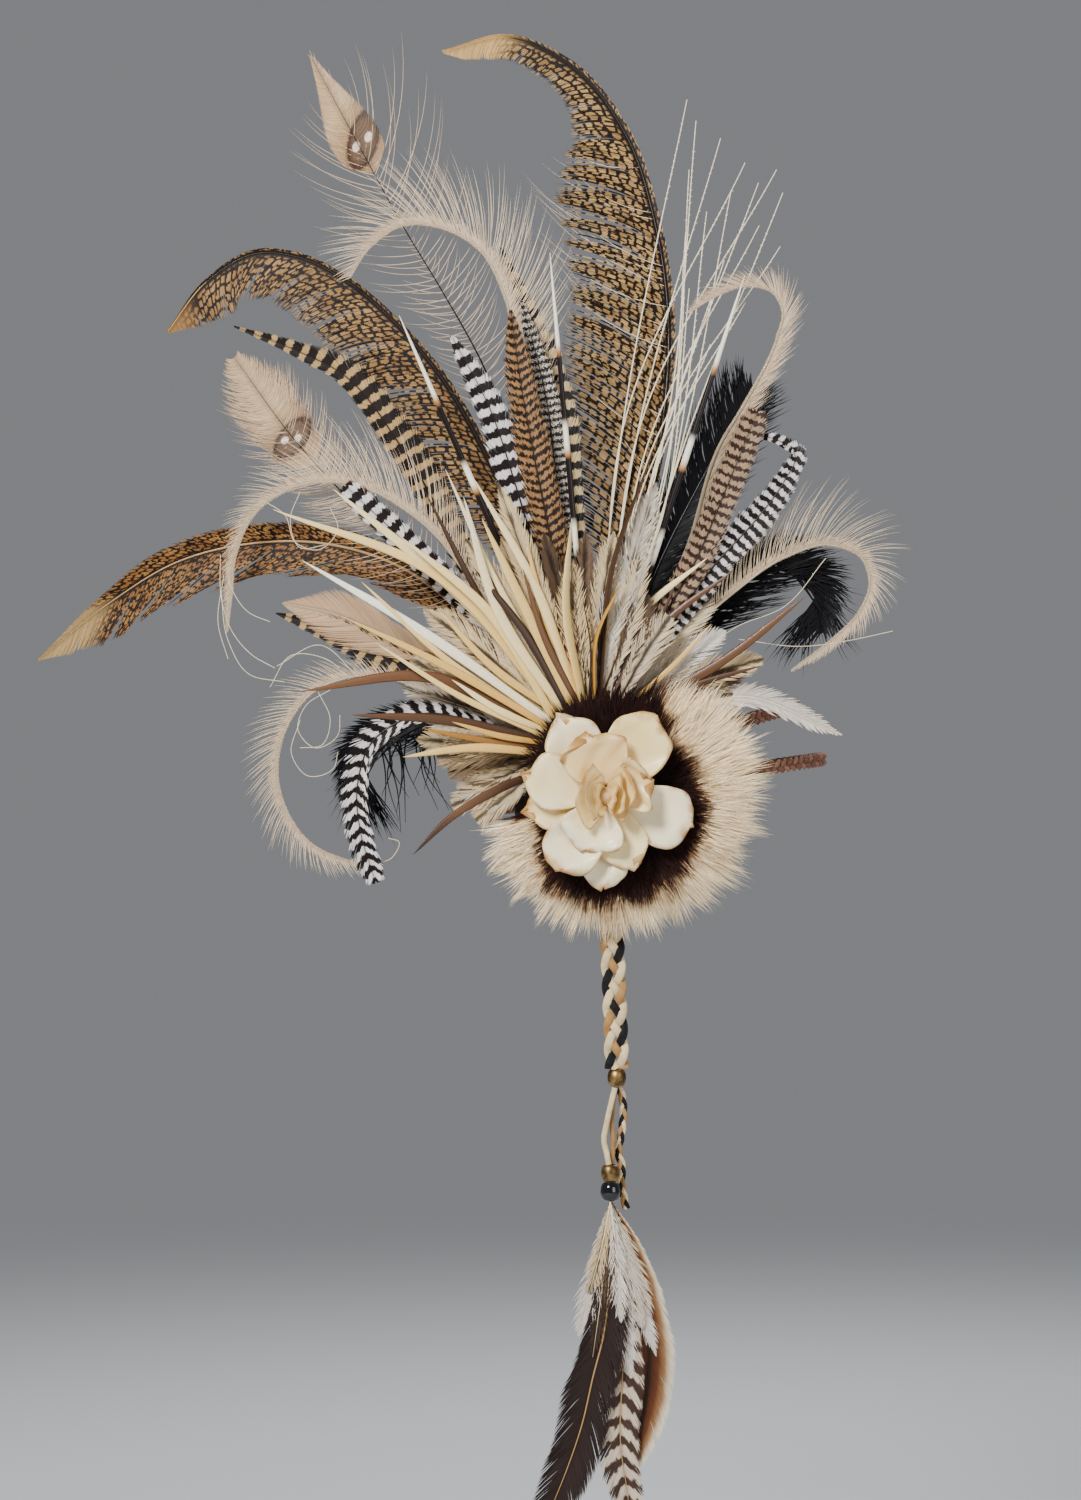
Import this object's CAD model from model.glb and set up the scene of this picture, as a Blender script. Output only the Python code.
# %% [markdown]
# # A feathered headdress, dressed in Blender
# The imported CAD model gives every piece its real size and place: a fan of feathers and blades, a fur
# and flower rosette, two braided headbands and a hanging drop. Here each piece gets its real surface.
# A feather is a shaft with hundreds of barbs. Modelling each barb by hand would take weeks, and a flat
# card with a painted feather looks dead from the side, so Geometry Nodes grow the barbs along a line.

# %% Load the frame
import math
from collections import namedtuple

import bmesh
import bpy
import numpy as np
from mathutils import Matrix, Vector


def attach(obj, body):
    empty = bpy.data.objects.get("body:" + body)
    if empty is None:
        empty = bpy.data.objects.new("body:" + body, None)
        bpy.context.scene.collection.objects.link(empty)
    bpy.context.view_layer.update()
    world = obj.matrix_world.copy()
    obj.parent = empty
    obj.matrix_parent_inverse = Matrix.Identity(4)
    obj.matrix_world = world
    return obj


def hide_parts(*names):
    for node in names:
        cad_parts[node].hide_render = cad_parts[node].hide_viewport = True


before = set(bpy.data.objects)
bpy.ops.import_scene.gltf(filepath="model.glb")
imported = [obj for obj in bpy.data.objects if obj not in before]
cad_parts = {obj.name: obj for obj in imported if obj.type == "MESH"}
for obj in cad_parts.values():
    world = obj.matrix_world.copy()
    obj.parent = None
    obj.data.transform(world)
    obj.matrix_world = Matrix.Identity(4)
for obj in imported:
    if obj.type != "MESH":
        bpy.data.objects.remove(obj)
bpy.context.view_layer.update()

# %% [markdown]
# ## Camera and studio
# The headdress is seen square from its side, from a little over two metres. The camera is level and
# its frame is 0.9 m high at the fan's plane. A strong soft lamp stands in front on the left, a weaker
# and broader one on the right opens the shadows, and one behind lights the barbs' edges. The floor
# fades into the colour of the world, so there is no horizon line behind the fine feathers.

# %% Camera
FAN_PLANE_Y = -0.095
CAMERA_DISTANCE = 2.3
FRAME_HEIGHT = 0.9
FRAME_CENTRE = (-0.0795, 0.015)
SENSOR = 36.0


def placed(name, data):
    """A new object in the scene."""
    obj = bpy.data.objects.new(name, data)
    bpy.context.scene.collection.objects.link(obj)
    return obj


camera_data = bpy.data.cameras.new("camera")
camera_data.sensor_width = SENSOR
camera_data.lens = SENSOR * CAMERA_DISTANCE / FRAME_HEIGHT
camera = placed("camera", camera_data)
camera.location = (FRAME_CENTRE[0], FAN_PLANE_Y - CAMERA_DISTANCE, FRAME_CENTRE[1])
camera.rotation_euler = (math.pi / 2, 0, 0)
bpy.context.scene.camera = camera
print("lens", round(camera_data.lens, 1), "mm")

# %% [markdown]
# ## Drawing node trees
# Feathers, fur, braids and materials are all node trees. Written node by node, a formula is hard to
# read, so a small class lets ordinary arithmetic draw the nodes: a * b adds a node that multiplies.

# %% Helpers that draw node trees
VECTOR = "FLOAT_VECTOR"
Parts = namedtuple("Parts", "x y z")


class Wire:
    """A node's output that arithmetic works on. A vector times a number is scaled by it."""

    def __init__(self, sketch, socket):
        self.sketch = sketch
        self.socket = socket
        self.is_vector = socket.type in ("VECTOR", "RGBA")

    def drawn(self, operation, first, second):
        draw = self.sketch.vector if self.is_vector else self.sketch.math
        return draw(operation, first, second)

    def __add__(self, other):
        return self.drawn("ADD", self, other)

    def __radd__(self, other):
        return self.drawn("ADD", other, self)

    def __sub__(self, other):
        return self.drawn("SUBTRACT", self, other)

    def __rsub__(self, other):
        return self.drawn("SUBTRACT", other, self)

    def __truediv__(self, other):
        return self.drawn("DIVIDE", self, other)

    def __mul__(self, other):
        if self.is_vector:
            return self.sketch.add("ShaderNodeVectorMath", {0: self, "Scale": other}, operation="SCALE")
        return self.sketch.math("MULTIPLY", self, other)


class Sketch:
    """A node tree being drawn."""

    def __init__(self, tree):
        self.tree = tree

    def fill(self, socket, value):
        if isinstance(value, Wire):
            self.tree.links.new(value.socket, socket)
        else:
            socket.default_value = value

    def node(self, kind, inputs=None, **settings):
        """Makes a node, sets its properties and fills its inputs."""
        node = self.tree.nodes.new(kind)
        for key, value in settings.items():
            setattr(node, key, value)
        for key, value in (inputs or {}).items():
            self.fill(node.inputs[key], value)
        return node

    def add(self, kind, inputs=None, output=0, **settings):
        """The same, but hands back one of the node's outputs as a wire."""
        return Wire(self, self.node(kind, inputs, **settings).outputs[output])

    def math(self, operation, first, second=0.0):
        return self.add("ShaderNodeMath", {0: first, 1: second}, operation=operation)

    def vector(self, operation, first, second=(0.0, 0.0, 0.0)):
        output = "Value" if operation == "LENGTH" else "Vector"
        return self.add("ShaderNodeVectorMath", {0: first, 1: second}, output, operation=operation)

    def parts(self, vector):
        outputs = self.node("ShaderNodeSeparateXYZ", {0: vector}).outputs
        return Parts(*(Wire(self, socket) for socket in outputs))

    def store(self, geometry, name, value, kind=VECTOR):
        inputs = {"Geometry": geometry, "Name": name, "Value": value}
        return self.add("GeometryNodeStoreNamedAttribute", inputs, data_type=kind)

    def read(self, name, kind="FLOAT"):
        return self.add("GeometryNodeInputNamedAttribute", {"Name": name}, data_type=kind)

    def join(self, *geometries):
        whole = self.node("GeometryNodeJoinGeometry")
        for geometry in geometries:
            self.fill(whole.inputs[0], geometry)
        return Wire(self, whole.outputs[0])

    def coloured(self, geometry, material):
        return self.add("GeometryNodeSetMaterial", {"Geometry": geometry, "Material": material})

    def carried(self, name, output="Fac"):
        """What the mesh carries under a name, as a material reads it."""
        return self.add("ShaderNodeAttribute", output=output, attribute_name=name)


class Paint(Sketch):
    """A material being drawn, with the constant values of its shader set."""

    def __init__(self, name, roughness, sheen=0.0, coat=0.0, metallic=0.0, shine=0.5):
        self.material = bpy.data.materials.new(name)
        self.material.use_nodes = True
        super().__init__(self.material.node_tree)
        self.shader = self.tree.nodes["Principled BSDF"]
        for label, value in (("Roughness", roughness), ("Sheen Weight", sheen), ("Coat Weight", coat),
                             ("Metallic", metallic), ("Specular IOR Level", shine)):
            self.shader.inputs[label].default_value = value

    def feed(self, label, value):
        self.fill(self.shader.inputs[label], value)

    def where(self):
        return self.add("ShaderNodeTexCoord", output="Object")

    def bump(self, height, strength, distance):
        inputs = {"Height": height, "Strength": strength, "Distance": distance}
        self.feed("Normal", self.add("ShaderNodeBump", inputs))


def new_group(name, kind, inputs, output=("Geometry", "Geometry")):
    """An empty node group: its sketch, its inputs as wires and the socket of its one output."""
    tree = bpy.data.node_groups.new(name, kind)
    for label, socket, default in inputs:
        made = tree.interface.new_socket(label, in_out="INPUT", socket_type="NodeSocket" + socket)
        if default is not None:
            made.default_value = default
    tree.interface.new_socket(output[0], in_out="OUTPUT", socket_type="NodeSocket" + output[1])
    sketch = Sketch(tree)
    given = {socket.name: Wire(sketch, socket) for socket in sketch.node("NodeGroupInput").outputs}
    return sketch, given, sketch.node("NodeGroupOutput").inputs[0]


def soft_step(value, low, high):
    """0 below low and 1 above high, or the other way round where low is the higher."""
    inputs = {0: value, 1: low, 2: high}
    return value.sketch.add("ShaderNodeMapRange", inputs, interpolation_type="SMOOTHSTEP")


def noise(vector, scale, detail=2.0, output=0):
    inputs = {"Vector": vector, "Scale": scale, "Detail": detail}
    return vector.sketch.add("ShaderNodeTexNoise", inputs, output)


# %% Floor and world
FLOOR_Z = -0.62
FLOOR_RADIUS = 12.0
FADE_FROM, FADE_TO = 1.0, 3.0
WORLD_COLOUR = (0.36, 0.37, 0.39, 1.0)
WORLD_STRENGTH = 0.60

world = bpy.data.worlds.new("studio")
world.use_nodes = True
backdrop = world.node_tree.nodes["Background"].inputs
backdrop["Color"].default_value = WORLD_COLOUR
backdrop["Strength"].default_value = WORLD_STRENGTH
bpy.context.scene.world = world

bpy.ops.mesh.primitive_circle_add(vertices=96, radius=FLOOR_RADIUS, fill_type="NGON", location=(0, 0, FLOOR_Z))
floor = bpy.context.active_object
floor.name = "floor"
paint = Paint("floor", 0.8)
paint.feed("Base Color", (0.55, 0.56, 0.58, 1.0))
glow = paint.add("ShaderNodeEmission", {"Color": WORLD_COLOUR, "Strength": WORLD_STRENGTH})
fade = soft_step(paint.vector("LENGTH", paint.where()), FADE_FROM, FADE_TO)
mixed = paint.add("ShaderNodeMixShader", {0: fade, 1: Wire(paint, paint.shader.outputs[0]), 2: glow})
paint.fill(paint.tree.nodes["Material Output"].inputs["Surface"], mixed)
floor.data.materials.append(paint.material)

# %% Lamps
Lamp = namedtuple("Lamp", "name place size power")
LAMPS = (
    Lamp("key", (-1.3, -2.4, 1.5), 0.8, 140),
    Lamp("fill", (1.9, -2.2, 0.3), 1.6, 30),
    Lamp("rim", (0.6, 1.8, 1.6), 1.2, 45),
)
LAMP_AIM = Vector((-0.06, -0.09, 0.05))
for lamp in LAMPS:
    light = bpy.data.lights.new(lamp.name, "AREA")
    light.size = lamp.size
    light.energy = lamp.power
    stand = placed(lamp.name, light)
    stand.location = lamp.place
    stand.rotation_euler = (LAMP_AIM - stand.location).to_track_quat("-Z", "Y").to_euler()
print("lamps:", ", ".join(lamp.name for lamp in LAMPS))

# %% [markdown]
# ## Barbs along a shaft
# Every feather here comes from one tree. It reads a line with attributes: where the barbs point, how
# long they are and how much they bend. It puts a narrow strip at even steps along the line, then moves
# each strip's points along an arc. An arc whose angle grows evenly has a closed formula, so no loop is
# needed. Strips tilt a little like roof tiles, so neighbours overlap without lying in one plane.

# %% Strips and tubes, which several trees share
def strips_on(sketch, roots, given):
    """A flat strip of faces at each root. edge and out tell each point its place across and along."""
    chance = sketch.add("FunctionNodeRandomValue", {0: (-1, -1, -1), 1: (1, 1, 1), "Seed": given["Seed"]},
                        data_type=VECTOR)
    here = sketch.add("GeometryNodeInputPosition")
    roots = sketch.store(sketch.store(roots, "chance", chance), "base", here)
    size = {"Size X": 2.0, "Size Y": 1.0, "Vertices X": 2, "Vertices Y": given["Segments"] + 1.0}
    corner = sketch.parts(here)
    strip = sketch.store(sketch.add("GeometryNodeMeshGrid", size), "edge", corner.x, "FLOAT")
    strip = sketch.store(strip, "out", corner.y + 0.5, "FLOAT")
    strips = sketch.add("GeometryNodeInstanceOnPoints", {"Points": roots, "Instance": strip})
    return sketch.add("GeometryNodeRealizeInstances", {"Geometry": strips})


def tube_along(sketch, line, sides, flatness, radius):
    """A closed tube along a line. Its round profile is pressed flat to a share of its width."""
    ring = sketch.add("GeometryNodeCurvePrimitiveCircle", {"Resolution": sides, "Radius": 1.0}, mode="RADIUS")
    squash = sketch.add("ShaderNodeCombineXYZ", {"X": flatness, "Y": 1.0, "Z": 1.0})
    ring = sketch.add("GeometryNodeTransform", {"Geometry": ring, "Scale": squash})
    inputs = {"Curve": line, "Profile Curve": ring, "Fill Caps": True, "Scale": radius}
    return sketch.add("GeometryNodeRealizeInstances", {"Geometry": sketch.add("GeometryNodeCurveToMesh", inputs)})


# %% The feather tree
FEATHER_INPUTS = (
    ("Geometry", "Geometry", None),
    ("Barb Spacing", "Float", 0.0008),
    ("Barb Width", "Float", 0.0009),
    ("Taper", "Float", 4.0),
    ("Segments", "Int", 6),
    ("Scatter", "Float", 0.05),
    ("Ragged", "Float", 0.10),
    ("Fluff", "Float", 0.03),
    ("Cup", "Float", 0.03),
    ("Seed", "Int", 0),
    ("Vane", "Material", None),
    ("Shaft", "Material", None),
)
TILE_TILT = 0.22
sketch, given, result = new_group("feather", "GeometryNodeTree", FEATHER_INPUTS)
route = sketch.add("GeometryNodeMeshToCurve", {"Mesh": given["Geometry"]})
steps = sketch.add("GeometryNodeResampleCurve", {"Curve": route, "Length": given["Barb Spacing"]}, mode="LENGTH")
roots = sketch.add("GeometryNodeCurveToPoints", {"Curve": steps}, "Points", mode="EVALUATED")
barbs = strips_on(sketch, roots, given)

luck = sketch.parts(sketch.read("chance", VECTOR))
out = sketch.read("out")
side = sketch.read("side")
start = sketch.read("sweep") + luck.x * given["Scatter"]
turn = sketch.read("curl")
angle = start + turn * out
sine, cosine = sketch.math("SINE", angle), sketch.math("COSINE", angle)
reach = sketch.read("reach") * (1.0 - sketch.math("ABSOLUTE", luck.z) * given["Ragged"])
ahead = (sine - sketch.math("SINE", start)) / turn
aside = (sketch.math("COSINE", start) - cosine) / turn
base, way, across, face = (sketch.read(name, VECTOR) for name in ("base", "way", "across", "face"))
narrow = 1.0 - sketch.math("POWER", out, given["Taper"])
shift = given["Barb Width"] * 0.5 * narrow * sketch.read("edge")
broad = across * cosine - way * sine
rise = reach * (out * luck.y * given["Fluff"] + out * out * given["Cup"]) + shift * TILE_TILT
place = base + (way * (reach * ahead) + across * (reach * aside)) + (broad * shift + face * rise)
barbs = sketch.add("GeometryNodeSetPosition", {"Geometry": barbs, "Position": place})
left = sketch.add("FunctionNodeCompare", {0: side, 1: 0.0}, operation="GREATER_THAN")
barbs = sketch.add("GeometryNodeFlipFaces", {"Mesh": barbs, "Selection": left})
mark = sketch.add("ShaderNodeCombineXYZ", {"X": sketch.read("along"), "Y": out * reach, "Z": side})
barbs = sketch.coloured(sketch.store(barbs, "mark", mark), given["Vane"])

right = sketch.add("FunctionNodeCompare", {0: side, 1: 0.0}, operation="LESS_THAN")
single = sketch.add("GeometryNodeDeleteGeometry", {"Geometry": given["Geometry"], "Selection": right},
                    domain="POINT")
single = sketch.add("GeometryNodeMeshToCurve", {"Mesh": single})
tube = tube_along(sketch, single, 6, 1.0, sketch.read("thick"))
sketch.fill(result, sketch.join(barbs, sketch.coloured(tube, given["Shaft"])))
feather_tree = sketch.tree
print("feather tree:", len(feather_tree.nodes), "nodes")

# %% From a tree to a plain mesh
WORKING = ("base", "way", "across", "face", "reach", "sweep", "curl", "side", "thick")


def baked(obj, modifier):
    """Gives an object the plain mesh that its modifier makes, and takes the modifier off."""
    bpy.context.view_layer.update()
    graph = bpy.context.evaluated_depsgraph_get()
    shaped = obj.evaluated_get(graph)
    made = bpy.data.meshes.new_from_object(shaped, preserve_all_data_layers=True, depsgraph=graph)
    obj.modifiers.remove(modifier)
    obj.data = made
    made.name = obj.name
    return made


def grown(name, tree, source, sizes):
    """The plain mesh object that a tree makes from a source mesh. sizes holds values for its inputs."""
    obj = placed(name, source)
    modifier = obj.modifiers.new("grow", "NODES")
    modifier.node_group = tree
    sockets = {item.name: item.identifier for item in tree.interface.items_tree
               if item.item_type == "SOCKET" and item.in_out == "INPUT"}
    for label, value in sizes.items():
        modifier[sockets[label]] = value
    made = baked(obj, modifier)
    for working in WORKING:
        if working in made.attributes:
            made.attributes.remove(made.attributes[working])
    return obj


def joined(name, objects):
    """Several finished objects as one."""
    with bpy.context.temp_override(active_object=objects[0], selected_editable_objects=objects):
        if len(objects) > 1:
            bpy.ops.object.join()
    objects[0].name = name
    objects[0].data.name = name
    return objects[0]


def settle(piece, node):
    """Gives a finished piece its body, its finish's name in the record and the CAD node it stands for."""
    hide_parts(node)
    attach(piece, "root")
    faces = sum(len(polygon.vertices) - 2 for polygon in piece.data.polygons)
    print(piece.name, faces, "triangles")

# %% [markdown]
# ## Where feathers run
# All shafts start on the rim of a core of bound quills and fan out from its hub. Each layer of the fan
# is a shallow cone, so that feathers pass behind one another and never through. Lines are drawn as
# (across, up) in hundredths of the fan's reach, and a smooth curve joins their points.

# %% Lines on the fan
HUB = (-0.0486, 0.015)
CORE_RADIUS = 0.030
FAN_REACH = 0.42
FAN_BOW = 0.020
LAYERS_FRONT = -0.0809
LAYER_PART = 0.0002
Layer = namedtuple("Layer", "name parts lean")
LAYERS = [Layer(*row) for row in (
    ("plumes", 17, 0.060), ("tails_back", 10, 0.045), ("tails_front", 10, 0.030), ("eyes", 9, 0.015),
    ("barred", 9, 0.000), ("swords_back", 9, -0.010), ("swords_front", 9, -0.025),
    ("side_hackles", 9, -0.035), ("grizzly", 9, -0.050), ("mottled", 9, -0.065),
    ("blades_right", 9, -0.080), ("quills", 22, -0.100), ("hackles_top", 9, -0.125),
    ("biots_back", 9, -0.155), ("biots_front", 9, -0.190), ("horns", 9, -0.230),
)]


def fan_depth(layer, points):
    """Y of a layer at points given as (x, z)."""
    depth = LAYERS_FRONT
    for row in LAYERS:
        if row.name == layer:
            break
        depth -= row.parts * LAYER_PART
    reach = np.hypot(points[:, 0] - HUB[0], points[:, 1] - HUB[1])
    bow = FAN_BOW * (reach / FAN_REACH) ** 2
    return depth - row.parts * LAYER_PART / 2 + row.lean * (reach - CORE_RADIUS) + bow


def rim_point(heading):
    turn = math.radians(heading)
    return (HUB[0] + CORE_RADIUS * math.cos(turn), HUB[1] + CORE_RADIUS * math.sin(turn))


def fan_point(share, layer):
    """A point drawn as (across, up) from the hub. A layer farther back reaches farther, to look the same."""
    drawn = np.array(share) / 100 * FAN_REACH
    depth = fan_depth(layer, np.array([HUB + drawn]))[0]
    reach = np.hypot(*drawn)
    longer = CORE_RADIUS + (reach - CORE_RADIUS) * (1 + (depth - FAN_PLANE_Y) / CAMERA_DISTANCE)
    return HUB + drawn * longer / reach


def length_along(line):
    """How far along a line each of its points lies."""
    steps = np.linalg.norm(np.diff(line, axis=0), axis=1)
    return np.concatenate([[0.0], np.cumsum(steps)])


def smooth_route(points, count):
    """count points, evenly spaced along a smooth curve through the given ones."""
    points = np.array(points, float)
    at = length_along(points)
    slopes = np.gradient(points, at, axis=0, edge_order=1)
    fine = np.linspace(0.0, at[-1], 40 * len(points))
    span = np.clip(np.searchsorted(at, fine, side="right") - 1, 0, len(points) - 2)
    size = (at[span + 1] - at[span])[:, None]
    t = ((fine - at[span]) / size[:, 0])[:, None]
    curve = ((1 + 2 * t) * (1 - t) ** 2 * points[span] + t * (1 - t) ** 2 * size * slopes[span]
             + t**2 * (3 - 2 * t) * points[span + 1] + t**2 * (t - 1) * size * slopes[span + 1])
    along = length_along(curve)
    even = np.linspace(0.0, along[-1], count)
    return np.stack([np.interp(even, along, curve[:, k]) for k in range(points.shape[1])], axis=1)


def on_layer(layer, flat, lift):
    """Points of a flat route, set into the depth of a layer. lift moves them to the front."""
    return np.stack([flat[:, 0], fan_depth(layer, flat) - lift, flat[:, 1]], axis=1)


def fan_line(layer, heading, path, count=160, lift=0.0):
    """A 3-D line from the core's rim through a path of shares. Without a heading it starts on the path."""
    start = [rim_point(heading)] if heading is not None else []
    return on_layer(layer, smooth_route([*start, *(fan_point(p, layer) for p in path)], count), lift)


# %% A shaft's line, with what the trees read
FRONT = np.array([0.0, -1.0, 0.0])
LEAST_CURL = 0.02


def spans(stations, width, count):
    """Widths at even steps of a line, through (share of the line, share of the width) stations."""
    at, part = zip(*stations)
    return np.interp(np.linspace(0, 1, count), at, part) * width


def directions(line):
    """The unit ways along a line and to its left, seen from the front."""
    way = np.gradient(line, axis=0)
    way /= np.linalg.norm(way, axis=1)[:, None]
    beside = np.cross(np.broadcast_to(FRONT, line.shape), way)
    beside /= np.linalg.norm(beside, axis=1)[:, None]
    return way, beside


def shaft_lines(line, left, right, sweep, curl, thick, tone=0.5, tip=0.15):
    """The left and right line of a shaft. left and right are the stations and width of the barbs' spans.

    sweep and curl may be pairs, one value for each side. tip is the share of its thickness that the
    shaft keeps at its end.
    """
    count = len(line)
    way, beside = directions(line)
    made = []
    for number, (side, span) in enumerate(((1.0, left), (-1.0, right))):
        start = np.broadcast_to(sweep[number] if isinstance(sweep, tuple) else sweep, count)
        bend = np.broadcast_to(curl[number] if isinstance(curl, tuple) else curl, count)
        bend = np.where(np.abs(bend) < LEAST_CURL, LEAST_CURL, bend)
        wide = np.maximum((np.cos(start) - np.cos(start + bend)) / bend, 0.2)
        made.append({
            "points": line, "way": way, "across": beside * side, "face": np.broadcast_to(FRONT, line.shape),
            "reach": spans(*span, count) / wide, "sweep": start, "curl": bend,
            "thick": thick * (1 - (1 - tip) * np.linspace(0, 1, count) ** 1.3),
            "along": length_along(line), "side": np.full(count, side), "tone": np.ones(count) * tone,
        })
    return made


def blade_line(line, thick, tone):
    """What the blade tree reads along one line. thick and tone may change along it."""
    count = len(line)
    return {"points": line, "thick": np.broadcast_to(thick, count), "along": np.linspace(0, 1, count),
            "tone": np.broadcast_to(tone, count)}


def carrying(mesh, numbers):
    """Stores named numbers or vectors, one for each point of a mesh."""
    for name, values in numbers.items():
        values = np.array(values, np.float32).reshape(len(mesh.vertices), -1)
        kind, field = (VECTOR, "vector") if values.shape[1] == 3 else ("FLOAT", "value")
        mesh.attributes.new(name, kind, "POINT").data.foreach_set(field, values.ravel())
    return mesh


def line_mesh(name, lines):
    """One mesh of loose lines, whose points carry all that the lines hold."""
    edges = []
    first = 0
    for line in lines:
        count = len(line["points"])
        edges += [(first + i, first + i + 1) for i in range(count - 1)]
        first += count
    numbers = {key: np.concatenate([line[key] for line in lines]) for key in lines[0]}
    mesh = bpy.data.meshes.new(name + "_line")
    mesh.from_pydata(numbers.pop("points").tolist(), edges, [])
    return carrying(mesh, numbers)


BARB_INPUTS = ("Barb Spacing", "Barb Width", "Taper", "Segments", "Scatter", "Ragged", "Fluff", "Cup", "Seed")


def feather(name, lines, vane, shaft, *barbs):
    """A feather along its shaft's lines. barbs are the values of BARB_INPUTS, in that order."""
    sizes = dict(zip(BARB_INPUTS, barbs), Vane=vane, Shaft=shaft)
    return grown(name, feather_tree, line_mesh(name, lines), sizes)


# %% The blade tree
BLADE_INPUTS = (
    ("Geometry", "Geometry", None),
    ("Sides", "Int", 8),
    ("Flatness", "Float", 0.5),
    ("Skin", "Material", None),
)
sketch, given, result = new_group("blade", "GeometryNodeTree", BLADE_INPUTS)
route = sketch.add("GeometryNodeMeshToCurve", {"Mesh": given["Geometry"]})
tube = tube_along(sketch, route, given["Sides"], given["Flatness"], sketch.read("thick"))
sketch.fill(result, sketch.coloured(tube, given["Skin"]))
blade_tree = sketch.tree


def blades(name, lines, skin, sides, flatness):
    """Tubes along lines, pressed flat, as one piece."""
    return grown(name, blade_tree, line_mesh(name, lines), {"Sides": sides, "Flatness": flatness, "Skin": skin})

# %% [markdown]
# ## Feather colours
# A painted texture would need an image and would not follow the barbs. Each barb carries its own
# coordinates instead: how far along the shaft it starts, how far out a point lies, and a few random
# numbers. A pattern on those coordinates bends and splits with the barbs, as pigment does.

# %% Helpers for materials
DEEPER = 1.28


def tint(red, green, blue):
    """A screen colour from 0 to 255 as a linear one, deepened because the view's film curve softens contrast."""
    return tuple(((v / 255 + 0.055) / 1.055) ** (2.4 * DEEPER) for v in (red, green, blue)) + (1.0,)


def darker(colour, share):
    return tuple(v * share for v in colour[:3]) + (1.0,)


def blend(factor, first, second):
    return factor.sketch.add("ShaderNodeMix", {0: factor, 6: first, 7: second}, 2, data_type="RGBA")


def ramp(value, stops):
    """A colour ramp through (place, colour) stops."""
    node = value.sketch.node("ShaderNodeValToRGB", {0: value})
    spots = node.color_ramp.elements
    while len(spots) < len(stops):
        spots.new(0.5)
    for spot, (at, colour) in zip(spots, stops):
        spot.position = at
        spot.color = colour
    return Wire(value.sketch, node.outputs["Color"])


# %% Shader groups that feathers share
sketch, given, result = new_group(
    "barb_light", "ShaderNodeTree",
    (("Colour", "Color", (0.8, 0.8, 0.8, 1.0)), ("Variation", "Float", 0.2), ("Quill Shade", "Float", 0.3)),
    ("Colour", "Color"))
luck = sketch.parts(sketch.carried("chance", "Vector"))
near = soft_step(sketch.parts(sketch.carried("mark", "Vector")).y, 0.004, 0.0)
light = (1.0 + luck.x * given["Variation"]) * (1.0 - near * given["Quill Shade"])
sketch.fill(result, given["Colour"] * light)
barb_light = sketch.tree


def lit(colour, variation):
    """The colour with barbs that differ a little in tone and darken towards the shaft."""
    inputs = {"Colour": colour, "Variation": variation}
    return colour.sketch.add("ShaderNodeGroup", inputs, node_tree=barb_light)


BAR_INPUTS = ("Period", "Slant", "Share", "Softness", "Wobble", "Grain")
sketch, given, result = new_group("bars", "ShaderNodeTree", [(label, "Float", 0.5) for label in BAR_INPUTS],
                                  ("Mask", "Float"))
vector = sketch.carried("mark", "Vector")
mark = sketch.parts(vector)
way = mark.x - mark.y * given["Slant"] + (noise(vector, given["Grain"]) - 0.5) * given["Wobble"]
fold = sketch.math("ABSOLUTE", sketch.math("FRACT", way / given["Period"]) * 2.0 - 1.0)
low, high = given["Share"] - given["Softness"], given["Share"] + given["Softness"]
sketch.fill(result, soft_step(fold, high, low))
bars = sketch.tree


# %% Golden pheasant: tan cells in a dark net
def pheasant_paint(name, cell, tan, edge_tan, net, tip_from, tip_tan):
    """Cells of a cellular noise whose borders are the dark net. The net fades out towards the tip."""
    paint = Paint(name, 0.55, sheen=0.02, shine=0.15)
    vector = paint.carried("mark", "Vector")
    mark = paint.parts(vector)
    warped = vector + (noise(vector, 140.0, output=1) - (0.5, 0.5, 0.5)) * 0.0025
    cells = {"Vector": warped / (cell, cell * 1.45, 1.0), "Scale": 1.0, "Randomness": 0.62}
    border, centre = (
        paint.add("ShaderNodeTexVoronoi", cells, "Distance", voronoi_dimensions="2D", feature=feature)
        for feature in ("DISTANCE_TO_EDGE", "F1"))
    spot = soft_step(border, 0.10, 0.20) * soft_step(centre, 0.56, 0.44)
    inside = blend(soft_step(noise(vector, 60.0), 0.35, 0.7), tan, edge_tan)
    colour = blend(soft_step(mark.y, 0.0040, 0.0015), blend(spot, net, inside), net)
    faded = soft_step(mark.x, tip_from, tip_from + 0.03) * 0.9
    paint.feed("Base Color", lit(blend(faded, colour, tip_tan), 0.22))
    return paint.material


pheasant = pheasant_paint("pheasant", 0.0044, tint(182, 154, 110), tint(156, 126, 84), tint(46, 34, 27),
                          0.436, tint(206, 172, 116))
pheasant_dark = pheasant_paint("pheasant_dark", 0.0043, tint(172, 140, 94), tint(142, 108, 68), tint(42, 31, 25),
                               0.400, tint(160, 126, 82))
pheasant_fine = pheasant_paint("pheasant_fine", 0.0038, tint(166, 128, 78), tint(142, 98, 54), tint(40, 30, 25),
                               0.312, tint(182, 156, 112))


# %% Barred, chevroned and mottled feathers
def barred_paint(name, light, dark, *sizes):
    """Dark bars on a light vane. sizes are the values of BAR_INPUTS, in that order."""
    paint = Paint(name, 0.55, sheen=0.02, shine=0.15)
    mask = paint.add("ShaderNodeGroup", dict(zip(BAR_INPUTS, sizes)), node_tree=bars)
    pale = blend(noise(paint.carried("mark", "Vector"), 200.0), light, darker(light, 0.8))
    paint.feed("Base Color", lit(blend(mask, pale, dark), 0.15))
    return paint.material


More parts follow.
